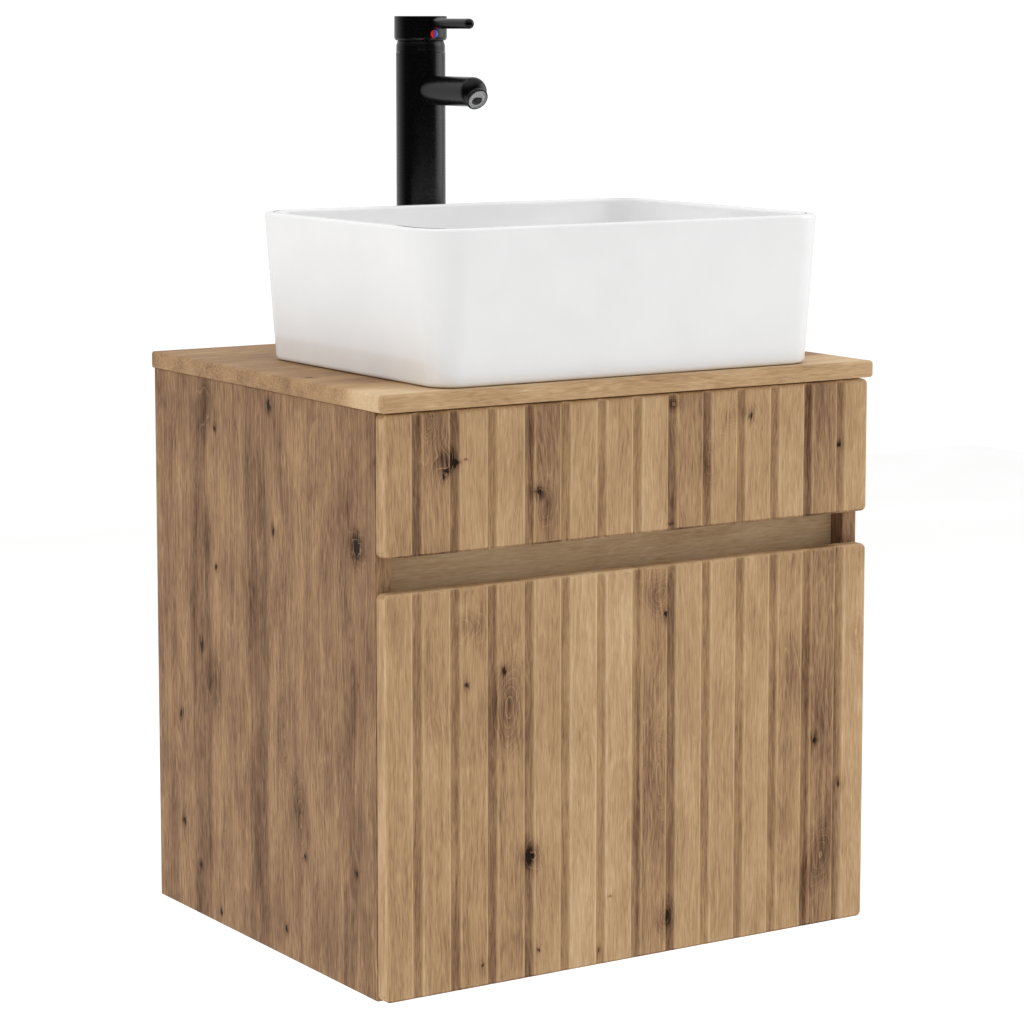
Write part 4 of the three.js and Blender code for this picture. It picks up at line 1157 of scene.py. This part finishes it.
@dataclass
class Waste:
    """The push-open waste: body, plug, gasket and nut."""

    bore: float = 17 * MM
    tube: float = 21 * MM
    crown: float = 6 * MM  # height of the plug's head
    dome_rise: float = 1.9 * MM
    guide: float = 4 * MM  # radius of the plug's stem

    def make(self, wardrobe: Wardrobe) -> None:
        """Builds and dresses the waste.

        Formulas: turned profiles with softened corners; the plug's dome is a parabola, lower by
        rise * share^2 at a share of its radius.
        """
        low, high = corners_of("drain_body")
        rim, length = (high[0] - low[0]) / 2, high[2] - low[2]
        foot = np.array((0, middle("drain_body")[1], low[2]))
        seat = length - 3 * MM
        body = soften(np.array([
            (self.bore, 0), (self.tube, 0), (self.tube, seat), (rim, seat),
            (rim - 1 * MM, length - 0.8 * MM), (self.tube, length), (self.bore, length - 2 * MM),
        ]), [0.5 * MM, 0.8 * MM, 0, 0.4 * MM, 1.2 * MM, 2 * MM, 1 * MM])
        wardrobe.put("drain_body", CHROME, Patch(turned(body, foot), ring_rows=True))

        low, high = corners_of("drain_plug")
        rim, length = (high[0] - low[0]) / 2, high[2] - low[2]
        under, dome_edge = length - self.crown, rim - 2.4 * MM
        lip = soften(np.array([
            (0, 0), (self.guide, 0), (self.guide, under), (rim - 1 * MM, under),
            (rim, under + self.crown / 4), (dome_edge, length - self.dome_rise),
        ]), [0, 0.8 * MM, 1 * MM, 0.5 * MM, 0.8 * MM, 0])
        span = np.linspace(1, 0, 12)
        dome = np.stack([dome_edge * span, length - self.dome_rise * span**2], -1)
        profile = np.concatenate([lip, dome[1:]])
        wardrobe.put("drain_plug", CHROME, Patch(turned(profile, (0, foot[1], low[2]))))
        wardrobe.ease("drain_nut", GREY_PLASTIC, 0.6)
        wardrobe.ease("drain_gasket", RUBBER, 0.4)


@dataclass
class Mixer:
    """The tall single-lever mixer: column, dome nut, cap, lever, marks, spout and aerator."""

    bore: float = 18.4 * MM
    inlet: float = 11 * MM
    floor: float = 12 * MM
    dome_opening: float = 0.66  # share of the dome's radius
    dome_lines: tuple[float, ...] = (1.6, 3.1, 4.3)  # mm above its foot
    dome_wall: float = 3 * MM
    dome_sphere: float = 23.05 * MM
    tilt_above_dome: float = 1.7 * MM
    cap_wall: float = 2.85 * MM
    cap_roof: float = 4 * MM
    proud: float = 0.25 * MM  # gap between a saddled tube and what it starts on
    lever_drop: float = 7 * MM  # from the cap's top
    lever_radius: float = 4.7 * MM
    dot_drop: float = 16.6 * MM
    dot_radius: float = 3.8 * MM
    nose_depth: float = 10.5 * MM
    nose_power: float = 2.3
    outlet_tilt: float = math.radians(60)
    outlet_radius: float = 10.6 * MM
    outlet_length: float = 13.6 * MM
    aerator_radius: float = 9.1 * MM
    weave: float = 1.7 * MM

    def __post_init__(self) -> None:
        """Reads the mixer's place and sizes from the frame."""
        low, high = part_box("tap_body")
        self.radius = (high.x - low.x) / 2
        self.axis = np.array((0, (low.y + high.y) / 2, 0))
        self.base, self.top = low.z, high.z

    def column(self, wardrobe: Wardrobe) -> None:
        """Builds the column and the dome nut above it.

        Formula: turned profiles; the dome is a cylinder whose radius is capped by a sphere about
        the lever's tilt centre. Three fine turned lines, each a bell curve, ring its foot.
        """
        r, height = self.radius, self.top - self.base
        body = soften(np.array([
            (self.inlet, 0), (r, 0), (r, height), (self.bore, height), (self.bore, self.floor),
            (self.inlet, self.floor),
        ]), [0.4 * MM, 0.8 * MM, 0.2 * MM, 0.3 * MM, 0.5 * MM, 0.5 * MM])
        foot = self.axis + (0, 0, self.base)
        wardrobe.put("tap_body", POWDER_COAT,
                     Patch(turned(body, foot, sides=COLUMN_SIDES), ring_rows=True))

        low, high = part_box("tap_dome_nut")
        rim, height = (high.x - low.x) / 2, high.z - low.z
        rise = np.linspace(0, height, 70)
        above = rise - self.tilt_above_dome
        outer = np.minimum(rim, np.sqrt(np.maximum(self.dome_sphere**2 - above**2, 0)))
        for ring in self.dome_lines:
            outer = outer - 0.14 * MM * np.exp(-(((rise - ring * MM) / (0.28 * MM)) ** 2))
        opening = rim * self.dome_opening
        keep = outer > opening
        shell = np.stack([outer, rise], -1)[keep]
        inner = np.stack([np.maximum(outer[keep] - self.dome_wall, opening * 0.98), rise[keep]], -1)[::-1]
        inner[:, 1] = np.minimum(inner[:, 1], height - 1 * MM)
        start = np.array([(outer[0] - 0.25 * MM, 0.0)])
        shell[0, 1] = 0.2 * MM
        profile = np.concatenate([start, shell, inner])
        wardrobe.put("tap_dome_nut", POWDER_COAT, Patch(
            turned(profile, self.axis + (0, 0, low.z), sides=COLUMN_SIDES), ring_rows=True))

    def cap(self, wardrobe: Wardrobe) -> None:
        """Builds the cap, the lever and the hot and cold marks.

        Formulas: the cap is a turned profile. The lever's rings start on the cap's cylinder, at
        sqrt(R^2 - x^2) from the axis, and end in a half sphere. A mark is half a disc bent round
        the cap, standing proud by a height that falls off towards its edge.
        """
        low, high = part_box("tap_cap")
        r, height = (high.x - low.x) / 2, high.z - low.z
        skirt = r - self.cap_wall
        shell = soften(np.array([
            (skirt, 0), (r - 1.5 * MM, 0), (r, 2.0 * MM), (r, height), (0, height),
            (0, height - self.cap_roof), (skirt, height - self.cap_roof),
        ]), [0.2 * MM, 0.5 * MM, 0.9 * MM, 0.8 * MM, 0, 0, 0.5 * MM])
        wardrobe.put("tap_cap", POWDER_COAT, Patch(
            turned(shell, self.axis + (0, 0, low.z), sides=COLUMN_SIDES), ring_rows=True))

        angle = np.arange(40) * TURN / 40
        x, z = self.lever_radius * np.cos(angle), self.lever_radius * np.sin(angle)
        tip = self.axis[1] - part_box("tap_lever")[0].y
        saddle = np.sqrt((r + self.proud) ** 2 - x**2)
        bend = np.linspace(0, TURN / 4, 9)
        reach = np.concatenate([[0.0, 0.004], np.linspace(0.02, 0.96, 4)])[:, None]
        straight = saddle + (tip - self.lever_radius - saddle) * reach
        round_ = np.broadcast_to((tip - self.lever_radius * (1 - np.sin(bend)))[:, None], (9, 40))
        out = np.concatenate([np.full((1, 40), r - 0.3 * MM), saddle[None], straight[1:], round_])
        scale = np.concatenate([[0.0], [0.93], np.ones(len(straight) - 1), np.cos(bend)])[:, None]
        lever = np.stack([scale * x, self.axis[1] - out, high.z - self.lever_drop + scale * z], -1)
        wardrobe.put("tap_lever", POWDER_COAT, Patch(lever))

        share = np.array([0, 0.3, 0.6, 0.8, 0.92, 1.0])[:, None]
        spoke = np.linspace(-TURN / 4, TURN / 4, 25)
        parting = 0.12 * MM  # each half's distance from the middle
        for side, sign, finish in (("red", -1, RED_ENAMEL), ("blue", 1, BLUE_ENAMEL)):
            x = sign * (parting + (self.dot_radius - parting) * share * np.cos(spoke))
            z = self.dot_radius * share * np.sin(spoke) + high.z - self.dot_drop
            surface = self.axis[1] - np.sqrt(r**2 - x**2)
            proud = 0.28 * MM * np.sqrt(np.maximum(1 - 0.85 * share**4, 0))
            face = np.stack([x, surface - proud, z], -1)
            back = np.stack([x, surface - 0.02 * MM, z], -1)
            rim = np.stack([Fronts.border(face), Fronts.border(back)])
            wardrobe.put(f"tap_dot_{side}", finish, Patch(face, ring_columns=False),
                         Patch(back, ring_columns=False), Patch(rim))

    def spout(self, wardrobe: Wardrobe) -> None:
        """Builds the spout, with its outlet, and the aerator.

        Formulas: the spout's rings start on the column's cylinder, at sqrt(R^2 - x^2) from the
        axis, and flare by a millimetre there. Its nose narrows as
        (1 - (distance / depth)^p)^(1/p). The outlet and the aerator are turned about a line that
        leans forward from straight down.
        """
        low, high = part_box("tap_spout")
        r = (high.x - low.x) / 2
        centre_z = high.z - r
        tip = self.axis[1] - low.y
        angle = np.arange(64) * TURN / 64
        x, z = r * np.cos(angle), r * np.sin(angle)
        saddle = np.sqrt((self.radius + self.proud) ** 2 - x**2)
        nose = np.linspace(0, 1, 14)
        narrowing = (1 - nose**self.nose_power) ** (1 / self.nose_power)
        reach = np.array([0.0, 0.008, 0.02, 0.045, 0.5, 0.97])[:, None]
        straight = saddle + (tip - self.nose_depth - saddle) * reach
        round_ = np.broadcast_to((tip - self.nose_depth * (1 - nose))[:, None], (14, 64))
        out = np.concatenate([np.full((1, 64), self.radius - 2 * MM), saddle[None], straight[1:], round_])
        ease = np.array([0.955, 0.985, 0.997, 1.0, 1.0, 1.0])
        scale = np.concatenate([[0.0], ease, narrowing])[:, None]
        tube = np.stack([scale * x, self.axis[1] - out, centre_z + scale * z], -1)

        aim = (0.0, -math.sin(self.outlet_tilt), -math.cos(self.outlet_tilt))
        start = np.array((0, self.axis[1] - (tip - r), centre_z))
        rim, length, mouth = self.outlet_radius, self.outlet_length, self.aerator_radius + 0.25 * MM
        shoulder, neck, seat = rim + 0.4 * MM, rim - 1.1 * MM, length - 6 * MM
        outlet = soften(np.array([
            (0, 3 * MM), (shoulder, 3 * MM), (shoulder, length - 5.2 * MM), (neck, length - 4.9 * MM),
            (neck, length - 3.9 * MM), (rim, length - 3.4 * MM), (rim, length), (mouth, length),
            (mouth, seat), (0, seat),
        ]), [0, 0.4 * MM, 0.5 * MM, 0.25 * MM, 0.25 * MM, 0.4 * MM, 0.7 * MM, 0.3 * MM, 0.3 * MM, 0])
        wardrobe.put("tap_spout", POWDER_COAT, Patch(tube), Patch(turned(outlet, start, aim)))

        inner, outer, depth = self.aerator_radius - 1.2 * MM, self.aerator_radius, length + 0.4 * MM
        back = depth - 5 * MM
        ring = soften(np.array([(inner, back), (outer, back), (outer, depth), (inner, depth)]), 0.4 * MM)
        wardrobe.put("aerator_ring", ZINC, Patch(turned(ring, start, aim), ring_rows=True))
        self.mesh_disc(wardrobe, start, aim, inner - 0.15 * MM, depth - 0.45 * MM)

    def mesh_disc(self, wardrobe: Wardrobe, start: Array, aim: Place, radius: float,
                  depth: float) -> None:
        """Builds the aerator's screen.

        Formula: a disc raised by w * sin(2 pi u / p) * sin(2 pi v / p), where u and v cross it at
        right angles, p is the weave's pitch and w fades to 0 at the edge. Real wires are finer;
        the pitch is as coarse as it needs to be to show.

        Args:
            wardrobe: Dresses it.
            start: The outlet's origin.
            aim: The outlet's direction.
            radius: The screen's radius.
            depth: Its distance from the origin.
        """
        share = np.linspace(0, 1, 26)
        flat = turned(np.stack([radius * share, np.full(26, depth)], -1), start, aim, COLUMN_SIDES)
        from_start = flat - start
        u = from_start[..., 0]
        v = from_start @ np.cross(np.array(aim), (1.0, 0.0, 0.0))
        wave = np.sin(TURN * u / self.weave) * np.sin(TURN * v / self.weave)
        raised_by = 0.22 * MM * wave * (1 - share**6)[:, None]
        face = flat + raised_by[..., None] * np.array(aim)
        back = flat[::-1] - 1.3 * MM * np.array(aim)
        wardrobe.put("aerator_mesh", SCREEN, Patch(np.concatenate([face, back])), crease=60)

    def make(self, wardrobe: Wardrobe) -> None:
        """Builds and dresses the mixer."""
        self.column(wardrobe)
        self.cap(wardrobe)
        self.spout(wardrobe)
        for node, finish, width in (
            ("tap_gasket", RUBBER, 0.3), ("tap_washer", RUBBER, 0.4), ("tap_nut", BRASS, 0.6),
            ("tap_shank", BRASS, 0.5), ("tap_cartridge", GREY_PLASTIC, 0.4),
            ("cartridge_rotor", WHITE_PLASTIC, 0.3), ("cartridge_stem", ZINC, 0.3),
        ):
            wardrobe.ease(node, finish, width)


@dataclass
class DrawerBox:
    """The drawer box behind the drawer front, with its U-shaped cut-out for the trap."""

    edge: float = 0.8 * MM

    def make(self, wardrobe: Wardrobe) -> None:
        """Builds and dresses the drawer box."""
        boards = Carcass(edge=self.edge)
        for side in ("left", "right"):
            boards.board(f"drawer_side_{side}", DRAWER_SIDE_OAK, wardrobe)
            boards.board(f"liner_side_{side}", DRAWER_SIDE_OAK, wardrobe)
            boards.board(f"drawer_back_{side}", RAIL_OAK, wardrobe)
        boards.board("liner_front", RAIL_OAK, wardrobe)
        wardrobe.ease("drawer_bottom", PANEL_OAK, 0.4)


@dataclass
class Runners:
    """The two telescopic runners, three nested channels each."""

    sheet: float = 1.2 * MM
    fold: float = 0.9 * MM
    lip_edge: float = 0.3 * MM
    end_edge: float = 0.2 * MM

    def make(self, wardrobe: Wardrobe) -> None:
        """Builds and dresses the runners.

        Formula: a channel's outline, a U of even thickness with softened folds, is carried along Y.
        """
        for side, sign in (("left", -1), ("right", 1)):
            for member, opens in (("outer", -sign), ("middle", -sign), ("inner", sign)):
                node = f"runner_{member}_{side}"
                (x0, y0, z0), (x1, y1, z1) = corners_of(node)
                web, lip = (x1, x0) if opens < 0 else (x0, x1)
                inner, lower, upper = web + opens * self.sheet, z0 + self.sheet, z1 - self.sheet
                channel = np.array([(web, z0), (lip, z0), (lip, lower), (inner, lower),
                                    (inner, upper), (lip, upper), (lip, z1), (web, z1)])
                half = [self.fold, self.lip_edge, self.lip_edge, self.fold / 2]
                outline = soften(channel[::opens], half + half[::-1], 3)
                wardrobe.put(node, ZINC, pushed(outline, y0, y1, self.end_edge, (0, 2, 1)))


@dataclass
class Hangers:
    """The cabinet hangers: a housing at each side and the hook that it drives."""

    housing_edge: float = 0.9
    hook_edge: float = 0.4

    def make(self, wardrobe: Wardrobe) -> None:
        """Eases and dresses the hangers."""
        for side in ("left", "right"):
            wardrobe.ease(f"hanger_housing_{side}", WHITE_PLASTIC, self.housing_edge)
            wardrobe.ease(f"hanger_hook_{side}", ZINC, self.hook_edge)


@dataclass(frozen=True)
class Lamp:
    """A soft rectangular lamp.

    Attributes:
        name: The lamp's name.
        place: Where it stands.
        aim: The point it faces.
        size: Width and height.
        power: Watts.
        mirrored: Whether it shows in glossy surfaces.
    """

    name: str
    place: Place
    aim: Place
    size: tuple[float, float]
    power: float
    mirrored: bool = False

    def make(self) -> None:
        """Puts the lamp in the scene."""
        data = bpy.data.lights.new(self.name, "AREA")
        data.shape, data.energy = "RECTANGLE", self.power
        data.size, data.size_y = self.size
        lamp = bpy.data.objects.new(self.name, data)
        lamp.location = self.place
        towards = Vector(self.aim) - Vector(self.place)
        lamp.rotation_euler = towards.to_track_quat("-Z", "Y").to_euler()
        lamp.visible_glossy = self.mirrored
        bpy.context.scene.collection.objects.link(lamp)


@dataclass
class Studio:
    """Camera, soft light and the pale floor below the hung unit."""

    camera_place: Place = (-1.5732, -2.4647, 0.8145)
    yaw: float = math.radians(32.619)
    pitch: float = math.radians(6.903)
    lens: float = 114.522
    shift: float = -0.1
    floor_drop: float = 0.3
    floor_half: float = 4.0
    floor_glow: float = 0.36
    surround: float = 1.05  # strength of the white that is seen directly
    ambient: float = 0.665
    lamps: tuple[Lamp, ...] = (
        Lamp("key", (2.3, -0.95, 1.25), (0.0, -0.1, 0.6), (1.9, 1.7), 17.0, mirrored=True),
        Lamp("fill", (-2.3, 0.8, 1.2), (0.0, 0.0, 0.35), (1.6, 1.6), 12.0),
        Lamp("overhead", (-0.2, -0.35, 2.8), (0.0, -0.05, 0.5), (1.8, 1.8), 21.0),
    )

    def camera(self) -> None:
        """Places the camera."""
        data = bpy.data.cameras.new("view")
        data.lens, data.sensor_width, data.shift_y = self.lens, 36.0, self.shift
        camera = bpy.data.objects.new("view", data)
        camera.location = self.camera_place
        camera.rotation_euler = (TURN / 4 - self.pitch, 0.0, -self.yaw)
        bpy.context.scene.collection.objects.link(camera)
        bpy.context.scene.camera = camera

    def world(self) -> None:
        """A white surround, dimmer as a light source than it looks.

        Reflections see a darker room on the viewer's side and a light ceiling, as in a studio.
        """
        recipe = Recipe(bpy.data.worlds.new("white_surround"))
        bpy.context.scene.world = recipe.owner
        viewer_side = (-math.sin(self.yaw), -math.cos(self.yaw), 0.0)
        direction = recipe.add("TexCoord", {}, "Generated")
        facing = recipe.add("VectorMath DOT_PRODUCT", {0: direction, 1: viewer_side}, "Value")
        room = recipe.add("MapRange", {0: facing, 1: -0.8, 2: 0.35, 3: 0.8, 4: 0.015},
                          interpolation_type="SMOOTHSTEP")
        height = recipe.add("SeparateXYZ", {0: direction}, "Z")
        ceiling = recipe.add("MapRange", {0: height, 1: 0.35, 2: 0.9, 3: 0.0, 4: self.ambient},
                             interpolation_type="SMOOTHSTEP")
        room = recipe.add("Math MAXIMUM", {0: room, 1: ceiling})
        glossy = recipe.add("LightPath", {}, "Is Glossy Ray")
        seen = recipe.add("LightPath", {}, "Is Camera Ray")
        strength = recipe.add("Mix", {0: glossy, 2: self.ambient, 3: room}, 0)
        strength = recipe.add("Mix", {0: seen, 2: strength, 3: self.surround}, 0)
        light = recipe.add("Background", {"Color": (1.0, 1.0, 1.0, 1.0), "Strength": strength})
        recipe.add("OutputWorld", {"Surface": light})

    def floor(self) -> None:
        """Lays the floor, a pale matt screed with a faint cloudiness."""
        half = self.floor_half
        corner = np.array([-half, half])
        x, y = np.meshgrid(corner, corner)
        grid = np.stack([x, y, np.full_like(x, -self.floor_drop)], -1)
        floor = build("studio_floor", [Patch(grid, ring_columns=False)])
        recipe = Recipe(bpy.data.materials.new("pale_matt_screed"))
        scaled = recipe.add("Mapping", {"Vector": recipe.add("TexCoord", {}, "Object"),
                                        "Scale": (3.0,) * 3})
        cloud = recipe.add("TexNoise", {"Vector": scaled, "Scale": 1.0, "Detail": 4.0})
        colour = recipe.add("ValToRGB", {0: cloud},
                            ramp=((0.3, linear("#f2f2f1")), (0.7, linear("#f7f7f7"))))
        rough = recipe.add("MapRange", {0: cloud, 1: 0.3, 2: 0.7, 3: 0.8, 4: 0.9})
        floor.data.materials.append(recipe.surface(
            Base_Color=colour, Roughness=rough, Emission_Color=(1.0,) * 4,
            Emission_Strength=self.floor_glow))
        floor.visible_glossy = False  # reflections see the room below the horizon too

    def make(self) -> None:
        """Sets the studio up."""
        bpy.context.scene.view_settings.view_transform = "Standard"
        self.camera()
        self.world()
        self.floor()
        for lamp in self.lamps:
            lamp.make()


def main() -> None:
    """Builds the studio and each sub-assembly in turn."""
    logging.basicConfig(level=logging.INFO, format="%(name)s: %(message)s")
    Studio().make()
    wardrobe = Wardrobe()
    for part in (Carcass(), Fronts(), Worktop(), Basin(), Waste(), Mixer(), DrawerBox(), Runners(),
                 Hangers()):
        part.make(wardrobe)


if __name__ == "__main__":
    main()
